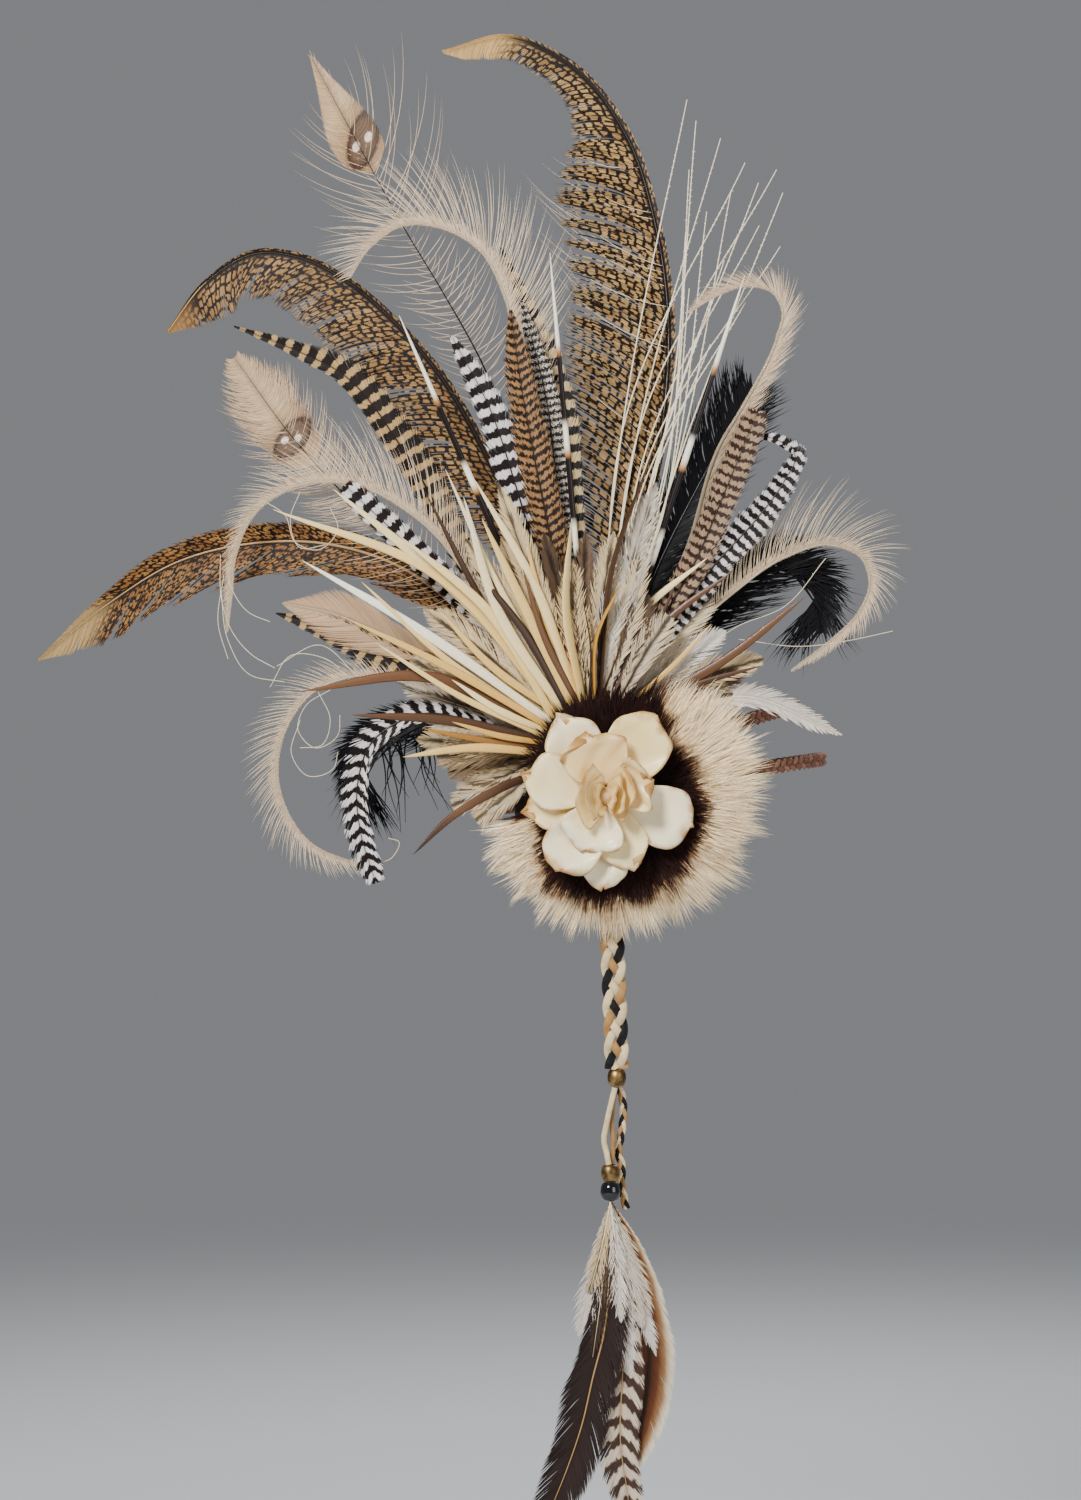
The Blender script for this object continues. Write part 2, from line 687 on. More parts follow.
BARRED = {}
for name, light, dark, *sizes in (
        ("grizzly", (234, 228, 224), (44, 34, 34), 0.0096, -0.92, 0.55, 0.10, 0.0055, 160),
        ("grizzly_fine", (230, 224, 220), (46, 37, 36), 0.0060, -0.92, 0.54, 0.12, 0.004, 160),
        ("grizzly_arrow", (234, 228, 224), (44, 35, 35), 0.0080, -0.50, 0.54, 0.10, 0.005, 160),
        ("barred_dark", (196, 168, 122), (44, 33, 28), 0.0100, -0.90, 0.62, 0.08, 0.004, 150),
        ("barred_cream", (214, 192, 150), (38, 29, 26), 0.0105, -0.90, 0.50, 0.08, 0.004, 150),
        ("mottled_tan", (172, 136, 96), (54, 39, 31), 0.0052, -0.66, 0.52, 0.16, 0.006, 320),
        ("mottled_rust", (182, 156, 130), (74, 54, 44), 0.0058, -0.85, 0.46, 0.12, 0.006, 220),
        ("mottled_spotted", (216, 206, 192), (38, 31, 31), 0.0044, -0.85, 0.60, 0.2, 0.007, 700),
        ("drop_barred", (214, 200, 182), (88, 70, 60), 0.0125, -0.45, 0.50, 0.12, 0.010, 120)):
    BARRED[name] = barred_paint(name, tint(*light), tint(*dark), *sizes)


# %% Plain feathers: peacock, hackles, black plumes and brown drop feathers
def stops(*rows):
    """Colour stops from rows of a place and a screen colour."""
    return [(at, tint(*colour)) for at, *colour in rows]


def plain_paint(name, colours, variation=0.15, by="tone", sheen=0.04, centre=None):
    """A feather coloured by a number that it carries. centre colours a line along its shaft."""
    paint = Paint(name, 0.5, sheen=sheen, shine=0.15)
    vector = paint.carried("mark", "Vector")
    number = paint.carried(by)
    colour = ramp(number + (noise(vector, 90.0) - 0.5) * 0.15, colours)
    if centre:
        line = soft_step(paint.parts(vector).y, 0.0045, 0.0012) * soft_step(noise(vector, 45.0), 0.38, 0.55)
        line = line * soft_step(number, 0.93, 0.88)
        colour = blend(line * 0.85, colour, centre)
    paint.feed("Base Color", lit(colour, variation))
    return paint.material


peacock = plain_paint("peacock", stops((0.0, 198, 170, 140), (0.5, 218, 195, 166), (1.0, 234, 217, 191)))
herl_white = plain_paint("herl_white", stops((0.0, 226, 208, 184), (1.0, 250, 243, 230)))
hackle = plain_paint("hackle", stops(
    (0.0, 56, 44, 40), (0.25, 140, 116, 92), (0.5, 216, 194, 152), (0.75, 222, 204, 170),
    (0.88, 202, 190, 174), (1.0, 228, 221, 212)), centre=tint(60, 46, 42))
black_plume = plain_paint("black_plume", stops((0.0, 10, 9, 12), (1.0, 32, 30, 38)), 0.3, sheen=0.0)
drop_brown = plain_paint("drop_brown", stops((0.0, 52, 41, 39), (0.5, 66, 53, 49), (1.0, 92, 72, 60)))
drop_russet = plain_paint("drop_russet", stops(
    (0.0, 66, 44, 34), (0.35, 112, 72, 46), (0.6, 160, 126, 92), (0.8, 216, 202, 176),
    (1.0, 232, 222, 200)), by="out")


# %% Shafts, horn blades and porcupine quills
def horn_paint(name, colours, roughness=0.35, streak=0.12):
    """Smooth horny stuff, coloured by the number it carries, with faint streaks."""
    paint = Paint(name, roughness, coat=0.08, shine=0.3)
    where = paint.where()
    light = 1.0 + (noise(where, 380.0, 3.0) - 0.5) * (streak * 2)
    paint.feed("Base Color", ramp(paint.carried("tone"), colours) * light)
    paint.bump(noise(where, 900.0), 0.15, 0.0003)
    return paint.material


shaft_dark = horn_paint("shaft_dark", stops((0.0, 46, 32, 26), (1.0, 66, 46, 36)))
shaft_pale = horn_paint("shaft_pale", stops((0.0, 222, 204, 174), (1.0, 242, 230, 204)))
shaft_tan = horn_paint("shaft_tan", stops((0.0, 176, 142, 98), (1.0, 200, 168, 122)))
shaft_tail = horn_paint("shaft_tail", stops((0.0, 50, 36, 28), (0.5, 56, 40, 31), (1.0, 206, 172, 116)))
shaft_hackle = horn_paint("shaft_hackle", stops(
    (0.0, 56, 42, 34), (0.8, 92, 72, 58), (0.92, 238, 228, 210), (1.0, 244, 236, 220)))
shaft_black = horn_paint("shaft_black", stops((0.0, 26, 22, 26), (1.0, 40, 34, 36)))
biot = horn_paint("biot", stops(
    (0.0, 60, 46, 36), (0.2, 98, 72, 52), (0.35, 134, 98, 68), (0.5, 206, 156, 66), (0.65, 226, 186, 110),
    (0.8, 243, 214, 146), (0.92, 252, 238, 198), (1.0, 255, 250, 232)), 0.42)
IVORY, QUILL_DARK, AMBER = tint(252, 246, 228), tint(44, 33, 31), tint(196, 150, 96)
porcupine = horn_paint("porcupine", (
    (0.0, QUILL_DARK), (0.32, QUILL_DARK), (0.345, IVORY), (0.385, IVORY), (0.41, QUILL_DARK), (0.54, QUILL_DARK),
    (0.55, AMBER), (0.57, IVORY), (0.61, IVORY), (0.63, QUILL_DARK), (0.765, QUILL_DARK), (0.78, AMBER),
    (0.80, IVORY), (1.0, IVORY)), 0.3, 0.06)
print("materials so far:", len(bpy.data.materials))

# %% Every long feather's route
# Each feather has its layer, the heading of its root in degrees and its path.
ROUTES = {
    "black_plume_top": ("plumes", 66, ((9, 25), (17, 41), (23, 52))),
    "black_plume_right": ("plumes", 40, ((17, 21), (27, 28), (33, 25), (33, 17))),
    "black_plume_left": ("plumes", 176, ((-17, 4), (-27, 5), (-34, 1), (-35, -7))),
    "pheasant_tail_top": ("tails_back", 79, (
        (6, 26), (10, 45), (11, 62), (9, 76), (5, 88), (-3, 98), (-12, 102), (-21, 100))),
    "pheasant_tail_low": ("tails_back", 158, (
        (-17, 18), (-27, 26), (-38, 29.5), (-49, 29.5), (-59, 27), (-69, 21), (-79, 13))),
    "pheasant_tail_left": ("tails_front", 117, (
        (-7, 24), (-14, 40), (-22, 54), (-28, 61), (-35, 67), (-42, 70.5), (-48, 71), (-55, 67), (-60.5, 60))),
    "peacock_eye_high": ("eyes", 107, ((-9, 37), (-16, 56), (-21, 65), (-27, 75), (-33, 86), (-40, 99))),
    "peacock_eye_low": ("eyes", 136, ((-20, 21), (-32, 33), (-43, 45), (-51, 56))),
    "barred_tail_left": ("barred", 126, ((-18, 27), (-27, 43), (-36, 54), (-42, 57), (-51, 60.5))),
    "barred_tail_centre": ("barred", 96, ((-3, 33), (-5, 50), (-7.5, 59), (-13, 72))),
    "barred_tail_low": ("barred", 160, ((-16, 7), (-27, 12), (-37, 17), (-45, 19.5))),
    "peacock_sword_a": ("swords_back", 103, (
        (-7, 27), (-11, 50), (-12.5, 65), (-16, 71.5), (-21, 74.5), (-27, 75), (-32, 71.5), (-34.5, 67.5))),
    "peacock_sword_c": ("swords_back", 170, (
        (-13, 5), (-23, 8.5), (-34, 10.5), (-39.5, 8.5), (-43.5, 3.5), (-45, -3), (-43.5, -9), (-40, -13.5),
        (-35, -15.7), (-31, -16.3))),
    "peacock_sword_d": ("swords_back", 67, (
        (13.5, 28.5), (18.5, 44), (21.5, 49), (26.5, 59), (27.3, 62.5), (26, 65.3), (22, 66.3), (18, 65),
        (14, 62.5))),
    "peacock_sword_b": ("swords_front", 129, (
        (-15, 21), (-25.5, 33.5), (-33, 37.6), (-41, 38), (-48, 34), (-51, 27.5), (-51.5, 22), (-52, 17))),
    "peacock_sword_e": ("swords_front", 49, (
        (13, 16), (20, 22.3), (27.5, 27.5), (34, 29.3), (38.5, 27.5), (39.7, 24), (38, 19.5), (34.5, 16),
        (28.5, 11.5))),
    "grizzly_left": ("grizzly", 112, ((-7, 24), (-11, 38), (-14.5, 48.5), (-20, 59))),
    "grizzly_middle": ("grizzly", 133, ((-13.5, 16.5), (-24.5, 27.5), (-35, 37.5))),
    "grizzly_right": ("grizzly", 58, (
        (10, 16), (18, 27), (23.5, 33), (27.5, 38.5), (29, 42), (27, 44), (23.5, 45))),
    "grizzly_hanging": ("grizzly", 172, (
        (-15, 3.5), (-25, 5), (-31.5, 1), (-33.5, -5), (-33, -12), (-31, -18.5))),
    "mottled_tan": ("mottled", 100, ((-6.5, 33), (-8.5, 43), (-10.3, 53), (-11.6, 62.5))),
    "mottled_rust": ("mottled", 60, ((8.5, 16), (15, 27.5), (19, 37), (23.5, 48))),
    "mottled_spotted": ("swords_front", 97, ((-5, 38), (-6.5, 50), (-10, 64))),
}


def route_line(name, count=160):
    return fan_line(*ROUTES[name], count)


# %% [markdown]
# ## Three golden-pheasant tails
# The vane of the top tail has one broad and one narrow side. Its barbs hook together in locks, and slits
# open between the locks where the feather has been handled. Here the barbs of a lock lean together.

# %% Pheasant tails
TAIL_COUNT = 300
TAIL_WIDE = ((0, 0), (0.12, 0), (0.16, 0.60), (0.22, 0.84), (0.29, 0.98), (0.36, 1.0), (0.48, 0.90), (0.60, 0.86),
             (0.65, 0.70), (0.69, 0.54), (0.72, 0.43), (0.78, 0.30), (0.86, 0.24), (0.92, 0.22), (0.97, 0.13),
             (1, 0.02))
TAIL_EDGE = ((0, 0), (0.2, 0.4), (0.4, 1.0), (0.8, 0.8), (1.0, 0.2))
TAIL_HAIRS = ((0, 0), (0.26, 0), (0.30, 0.7), (0.42, 1.0), (0.58, 1.0), (0.66, 0.7), (0.70, 0), (1, 0))
LEFT_WIDE = ((0, 0), (0.15, 0), (0.20, 0.5), (0.30, 0.95), (0.50, 1.0), (0.65, 0.92), (0.78, 0.72), (0.88, 0.62),
             (0.94, 0.40), (1, 0.04))
LOW_WIDE = ((0, 0), (0.18, 0), (0.25, 0.6), (0.40, 0.92), (0.60, 1.0), (0.75, 0.80), (0.88, 0.42), (1, 0.02))
TAIL_SLITS = (0.26, 0.31, 0.37, 0.42, 0.465, 0.51, 0.54, 0.575, 0.62, 0.66, 0.71, 0.76, 0.82, 0.88, 0.94)
LEFT_SLITS = (0.28, 0.38, 0.47, 0.56, 0.63, 0.68, 0.73, 0.80, 0.88, 0.94)
LOW_SLITS = (0.3, 0.42, 0.55, 0.63, 0.72, 0.8, 0.9)
TAIL_SPREAD = spans(((0, 0.014), (0.37, 0.014), (0.44, 0.055), (1, 0.070)), 1.0, TAIL_COUNT)
TIP_FADE = spans(((0, 0), (0.89, 0), (0.93, 1), (1, 1)), 1.0, TAIL_COUNT)


def locks(sweep, slits, spread):
    """A sweep that makes the barbs between two slits lean together, so that the vane splits there."""
    at = np.linspace(0, 1, TAIL_COUNT)
    edges = np.array([0.0, *slits, 1.0])
    span = np.clip(np.searchsorted(edges, at, side="right") - 1, 0, len(edges) - 2)
    within = (at - edges[span]) / (edges[span + 1] - edges[span])
    return sweep + spread * (2 * within - 1)


line = route_line("pheasant_tail_top", TAIL_COUNT)
lines = shaft_lines(line, (TAIL_WIDE, 0.068), (TAIL_EDGE, 0.0042), (locks(0.80, TAIL_SLITS, TAIL_SPREAD), 0.6),
                    (0.55, -0.2), 0.0016, TIP_FADE)
vane = feather("tail_top_feather", lines, pheasant, shaft_tail,
               0.00075, 0.0010, 6.0, 8, 0.02, 0.03, 0.02, 0.05, 1)
lines = shaft_lines(line, (TAIL_HAIRS, 0.082), (TAIL_HAIRS, 0.0), 1.25, -0.75, 0.0005, 0.9)[:1]
hairs = feather("tail_top_hairs", lines, peacock, shaft_tail,
                0.0042, 0.00036, 2.0, 9, 0.16, 0.45, 0.06, -0.02, 6)
settle(joined("tail_top_feather", [vane, hairs]), "pheasant_tail_top")

lines = shaft_lines(route_line("pheasant_tail_left", TAIL_COUNT), (LEFT_WIDE, 0.044), (TAIL_EDGE, 0.0035),
                    (locks(0.75, LEFT_SLITS, 0.05), 0.6), (0.60, -0.2), 0.0015, TIP_FADE)
vane = feather("tail_left_feather", lines, pheasant_dark, shaft_tail,
               0.00075, 0.0010, 6.0, 8, 0.02, 0.04, 0.02, 0.05, 2)
settle(vane, "pheasant_tail_left")

lines = shaft_lines(route_line("pheasant_tail_low", TAIL_COUNT), (LOW_WIDE, 0.032), (LOW_WIDE, 0.011),
                    (locks(0.62, LOW_SLITS, 0.05), 0.5), -0.15, 0.0013)
vane = feather("tail_low_feather", lines, pheasant_fine, shaft_tan,
               0.0007, 0.0009, 6.0, 6, 0.02, 0.03, 0.02, 0.03, 3)
settle(vane, "pheasant_tail_low")

# %% [markdown]
# ## Peacock swords and eyes
# A sword feather carries long loose barbs on one side of a bent shaft. They do not hook together, so
# each one is seen alone. The spacing is wider than the barb, and every barb bends and lifts a little.

# %% Peacock swords
# Some barbs have come loose and curl on their own. Each row is such a barb's path, drawn like a route.
LOOSE_BARBS = {
    "peacock_sword_b": (
        ((-53.1, 27.9), (-52.9, 21.4), (-51.4, 16.9), (-48.6, 13.6), (-45.3, 11.7)),
        ((-52.3, 27.1), (-51.4, 22.9), (-49.1, 19.7), (-46.0, 18.3)),
        ((-53.0, 22.9), (-52.0, 15.7), (-49.1, 10.9), (-43.9, 9.7)),
        ((-47.1, 35.7), (-43.9, 33.6), (-42.3, 29.6), (-39.1, 28.6), (-36.3, 31.7), (-37.4, 34.6)),
        ((-41.7, 36.9), (-43.1, 32.9), (-41.7, 28.9), (-38.1, 29.3)),
        ((-52.6, 25.0), (-53.4, 18.0), (-52.0, 13.0))),
    "peacock_sword_c": (
        ((-37.4, 8.6), (-40.9, 6.3), (-42.0, 2.9), (-39.6, 0.3), (-36.3, 2.1), (-36.0, 5.0)),
        ((-41.7, 4.3), (-42.9, -0.7), (-40.6, -3.7), (-36.9, -2.6), (-36.3, -0.3)),
        ((-39.1, 8.3), (-37.4, 4.3), (-38.6, 0.7), (-41.7, 0.3)),
        ((-34.0, 9.5), (-38.0, 13.0), (-43.0, 13.5), (-46.0, 9.0)),
        ((-33.0, 10.0), (-39.0, 15.0), (-45.0, 12.0)),
        ((-31.4, -16.3), (-28.6, -15.4), (-27.6, -13.1), (-29.1, -12.6))),
    "peacock_sword_e": (
        ((14.0, 12.5), (20.5, 17.5), (27.5, 20.5), (33.4, 27.4)),
        ((21.0, 15.8), (30.0, 14.8), (36.5, 15.6), (43.0, 17.0))),
}
BAND_SPAN = ((0, 0), (0.20, 0), (0.26, 0.3), (0.45, 0.9), (0.70, 1.0), (0.92, 0.8), (1, 0.15))
LONG_SPAN = ((0, 0), (0.22, 0), (0.26, 0.20), (0.42, 0.75), (0.60, 1.0), (0.80, 0.88), (0.94, 0.50), (1, 0.12))
EARLY_SPAN = ((0, 0), (0.22, 0), (0.28, 0.50), (0.42, 1.0), (0.55, 1.0), (0.70, 0.50), (0.85, 0.22), (1, 0.05))
LOOSE_COUNT = 240
Sword = namedtuple("Sword", "name form fringe band sweep curl left_side thick")
SWORDS = [Sword(*row) for row in (
    ("peacock_sword_a", LONG_SPAN, 0.040, 0.0080, 0.75, -0.30, False, 0.0011),
    ("peacock_sword_b", EARLY_SPAN, 0.036, 0.0075, 0.85, -0.40, False, 0.0011),
    ("peacock_sword_c", LONG_SPAN, 0.021, 0.0065, 0.90, -0.30, False, 0.0010),
    ("peacock_sword_d", LONG_SPAN, 0.011, 0.0080, 0.42, -0.10, False, 0.0018),
    ("peacock_sword_e", EARLY_SPAN, 0.035, 0.0070, 0.95, -0.50, True, 0.0011),
)]
for number, row in enumerate(SWORDS):
    line = route_line(row.name, LOOSE_COUNT)
    parts = []
    layers = (((BAND_SPAN, row.band), 0.00060, 0.00042, 0.35), ((row.form, row.fringe), 0.00092, 0.00029, 0.40))
    for layer, (outer, spacing, barb, ragged) in enumerate(layers):
        inner = (BAND_SPAN, 0.0012)
        left, right = (outer, inner) if row.left_side else (inner, outer)
        lines = shaft_lines(line, left, right, row.sweep, row.curl, row.thick, 0.45 + 0.35 * layer)
        parts.append(feather(f"{row.name}_{layer}", lines, peacock, shaft_pale,
                             spacing, barb, 2.5, 7, 0.10, ragged, 0.05, 0.04, 10 + 2 * number + layer))
    if row.name in LOOSE_BARBS:
        layer = ROUTES[row.name][0]
        strands = [blade_line(fan_line(layer, None, path, 50), 0.00022, 0.6) for path in LOOSE_BARBS[row.name]]
        parts.append(blades(row.name + "_curls", strands, shaft_pale, 5, 1.0))
    settle(joined(row.name + "_feather", parts), row.name)

# %% Peacock eyes
EyeSpot = namedtuple("EyeSpot", "centre turn half_across half_along")
LooseRow = namedtuple("LooseRow", "stations left right sweep spacing")
Eye = namedtuple("Eye", "name spot stations left right ragged loose")
EYES = (
    Eye("peacock_eye_high", EyeSpot((-32.6, 87.3), -14, 0.0088, 0.0190),
        ((0, 0), (0.812, 0), (0.817, 0.92), (0.845, 1.0), (0.875, 0.88), (0.915, 0.60), (0.955, 0.32), (1, 0.05)),
        0.0165, 0.0160, 0.03, (
            LooseRow(((0, 0), (0.46, 0), (0.52, 0.50), (0.64, 0.85), (0.71, 1.0), (0.79, 0.80), (0.845, 0.50),
                      (0.87, 0.15), (1, 0.02)), 0.046, 0.066, (1.45, 1.15, 0.66, 0.50), 0.0046),
            LooseRow(((0, 0), (0.30, 0), (0.36, 0.60), (0.46, 1.0), (0.60, 0.90), (0.66, 0.10), (1, 0.02)),
                     0.030, 0.034, (1.20, 1.00, 0.90, 0.90), 0.0050))),
    Eye("peacock_eye_low", EyeSpot((-42.7, 44.6), -40, 0.0080, 0.0150),
        ((0, 0), (0.72, 0), (0.73, 0.75), (0.80, 0.95), (0.87, 1.0), (0.93, 0.70), (1, 0.20)),
        0.0240, 0.0210, 0.35, (
            LooseRow(((0, 0), (0.52, 0), (0.60, 0.80), (0.74, 1.0), (0.84, 0.85), (0.91, 0.45), (0.96, 0.12),
                      (1, 0.02)), 0.034, 0.032, (1.30, 1.20, 1.05, 0.90), 0.0010),
            LooseRow(((0, 0), (0.20, 0), (0.30, 0.60), (0.46, 1.0), (0.60, 0.90), (0.70, 0.60), (0.76, 0.02),
                      (1, 0.02)), 0.034, 0.040, (1.20, 1.05, 0.90, 0.90), 0.0038))),
)
SWEEP_AT = (0.50, 0.70, 0.84, 1.0)


def eye_paint(name, spot):
    """Beige barbs round a dark oval, placed on the fan in metres, with two white flecks in it."""
    paint = Paint(name, 0.5, sheen=0.03, shine=0.15)
    x, z = fan_point(spot.centre, "eyes")
    turning = {"Vector": paint.where() - (x, 0.0, z), "Angle": math.radians(spot.turn)}
    local = paint.add("ShaderNodeVectorRotate", turning, rotation_type="Y_AXIS")
    local = local / (spot.half_across, 1000.0, spot.half_along)
    far = paint.vector("LENGTH", local) + (noise(paint.carried("mark", "Vector"), 500.0) - 0.5) * 0.25
    colour = ramp(far * 0.25, stops(
        (0.0, 126, 102, 80), (0.17, 126, 102, 80), (0.24, 84, 62, 48), (0.29, 176, 148, 116),
        (0.42, 190, 162, 128), (0.60, 206, 180, 146), (1.0, 200, 174, 142)))
    for fleck_x, fleck_z in ((0.28, 0.12), (-0.36, -0.28)):
        gap = paint.vector("LENGTH", (local - (fleck_x, 0.0, fleck_z)) / (0.25, 1.0, 0.17))
        colour = blend(soft_step(gap, 1.2, 0.8), colour, tint(236, 222, 206))
    paint.feed("Base Color", lit(colour, 0.15))
    return paint.material


for number, row in enumerate(EYES):
    line = route_line(row.name, LOOSE_COUNT)
    lines = shaft_lines(line, (row.stations, row.left), (row.stations, row.right), 1.50, -1.15, 0.0008)
    parts = [feather(row.name + "_eye", lines, eye_paint(row.name, row.spot), shaft_dark,
                     0.0005, 0.0007, 4.0, 8, 0.02, row.ragged, 0.02, 0.05, 20 + number)]
    for loose in row.loose:
        sweep = spans(tuple(zip(SWEEP_AT, loose.sweep)), 1.0, LOOSE_COUNT)
        lines = shaft_lines(line, (loose.stations, loose.left), (loose.stations, loose.right), sweep, -0.55,
                            0.0008, 0.3)
        parts.append(feather(row.name + "_loose", lines, peacock, shaft_dark,
                             loose.spacing, 0.00038, 2.0, 9, 0.12, 0.30, 0.05, 0.02, 24 + number))
    settle(joined(row.name + "_feather", parts), row.name)

# %% [markdown]
# ## Barred, chevroned and mottled feathers
# These are strips of even width. Their bars run across both sides of the shaft and slant along the
# barbs, so a chevron pattern comes from one number: how far along the shaft the barb began.

# %% Straight strips
STRIP = ((0, 0), (0.10, 0.0), (0.16, 0.5), (0.35, 0.9), (0.60, 1.0), (0.88, 0.92), (0.96, 0.6), (1, 0.15))
LANCE = ((0, 0), (0.10, 0.0), (0.16, 0.4), (0.36, 0.85), (0.52, 1.0), (0.70, 0.80), (0.85, 0.42), (1, 0.03))
TAPER = ((0, 0), (0.10, 0.0), (0.16, 0.5), (0.35, 0.95), (0.60, 1.0), (0.80, 0.76), (0.92, 0.42), (1, 0.08))
LEAF = ((0, 0), (0.40, 0.0), (0.48, 0.6), (0.60, 1.0), (0.72, 0.85), (0.86, 0.42), (1, 0.03))
CURLED = ((0, 0), (0.10, 0.0), (0.16, 0.5), (0.32, 1.0), (0.55, 0.95), (0.72, 0.70), (0.85, 0.45), (1, 0.12))
Strip = namedtuple("Strip", "name slot form left right skin sweep fluff")
STRIPS = [Strip(*row) for row in (
    ("barred_tail_left", "barred_pheasant", LANCE, 0.010, 0.013, "barred_dark", 0.55, 0.02),
    ("barred_tail_centre", "barred_pheasant", LANCE, 0.012, 0.011, "barred_cream", 0.55, 0.02),
    ("barred_tail_low", "barred_pheasant", LANCE, 0.012, 0.012, "barred_dark", 0.55, 0.02),
    ("grizzly_left", "grizzly", TAPER, 0.011, 0.011, "grizzly", 0.60, 0.04),
    ("grizzly_middle", "grizzly", STRIP, 0.009, 0.009, "grizzly", 0.60, 0.04),
    ("grizzly_right", "grizzly", CURLED, 0.011, 0.011, "grizzly_fine", 0.60, 0.05),
    ("grizzly_hanging", "grizzly", STRIP, 0.009, 0.009, "grizzly_arrow", 0.60, 0.05),
    ("mottled_tan", "mottled", TAPER, 0.0115, 0.0115, "mottled_tan", 0.60, 0.03),
    ("mottled_rust", "mottled", STRIP, 0.010, 0.010, "mottled_rust", 0.60, 0.03),
    ("mottled_spotted", "mottled", TAPER, 0.009, 0.009, "mottled_spotted", 0.60, 0.03),
)]
LEAF_PATH = ((-16, 9.5), (-28, 15.5), (-37, 19.5), (-44, 21))
for number, row in enumerate(STRIPS):
    line = route_line(row.name)
    lines = shaft_lines(line, (row.form, row.left), (row.form, row.right), row.sweep, -0.25, 0.0009)
    strip = feather(row.name + "_feather", lines, BARRED[row.skin], shaft_dark,
                    0.0007, 0.0009, 4.0, 6, 0.05, 0.14, row.fluff, 0.04, 30 + number)
    if row.name == "barred_tail_low":
        line = fan_line("barred", 158, LEAF_PATH, lift=0.0006)
        lines = shaft_lines(line, (LEAF, 0.018), (LEAF, 0.015), 0.60, -0.3, 0.0007, -0.1)
        leaf = feather("beige_leaf", lines, peacock, shaft_pale,
                       0.0006, 0.0008, 4.0, 6, 0.03, 0.06, 0.02, 0.04, 48)
        strip = joined(row.name + "_feather", [strip, leaf])
    settle(strip, row.name)

# %% Black plumes, one with wisps that hang from it
PLUME = ((0, 0), (0.12, 0.20), (0.32, 0.80), (0.60, 1.0), (0.85, 1.0), (0.95, 0.7), (1, 0.25))
PLUMES = (("black_plume_top", 0.026, 0.026), ("black_plume_right", 0.014, 0.038),
          ("black_plume_left", 0.036, 0.010))
WISP_COUNT = 30
for number, (name, left, right) in enumerate(PLUMES):
    lines = shaft_lines(route_line(name), (PLUME, left), (PLUME, right), 0.80, -0.35, 0.0012)
    plume = feather(name + "_feather", lines, black_plume, shaft_black,
                    0.0006, 0.0011, 2.0, 7, 0.16, 0.35, 0.07, 0.05, 50 + number)
    if name == "black_plume_left":
        dice = np.random.default_rng(5)
        strands = []
        for start in np.linspace(-19, -31, 26):
            top = np.array((start, 4.5 - 0.25 * abs(start + 22)))
            drop = np.array((dice.uniform(-1, 4), -dice.uniform(6, 14)))
            bend = np.array((dice.uniform(-2.5, 2.5), 0))
            path = fan_line("plumes", None, (top, top + drop / 2 + bend, top + drop), WISP_COUNT)
            strands.append(blade_line(path, 0.0007 * (1 - 0.8 * np.linspace(0, 1, WISP_COUNT)), 0.5))
        plume = joined(name + "_feather", [plume, blades("black_wisps", strands, shaft_black, 5, 0.5)])
    settle(plume, name)

# %% [markdown]
# ## Blades, quills and small feathers
# Stiff blades are tubes pressed flat, swept along the same kind of line. Porcupine quills are round and
# swell in the middle, with dark bands between ivory ones.

# %% Porcupine quills
def bowed_line(layer, root, tip, bow, count=60, lift=0.0):
    """A line from the core's rim to a tip, whose middle stands off to its left by a share of its length."""
    start = np.array(rim_point(root))
    end = fan_point(tip, layer)
    step = end - start
    middle = (start + end) / 2 + bow * np.array([-step[1], step[0]])
    return on_layer(layer, smooth_route([start, middle, end], count), lift)


QUILL_FORM = ((0, 0.55), (0.3, 0.95), (0.55, 1.0), (0.8, 0.75), (0.93, 0.42), (1, 0.08))
QUILLS = (("porcupine_quill_left", 116, 0.0020, (-27.6, 62)), ("porcupine_quill_middle", 93, 0.0018, (-6.1, 71)),
          ("porcupine_quill_right", 73, 0.0021, (21.7, 67.7)))
for name, root, radius, tip in QUILLS:
    line = bowed_line("quills", root, tip, 0.0, 80)
    row = blade_line(line, spans(QUILL_FORM, radius, 80), np.linspace(0, 1, 80))
    settle(blades(name + "_shaft", [row], porcupine, 12, 1.0), name)

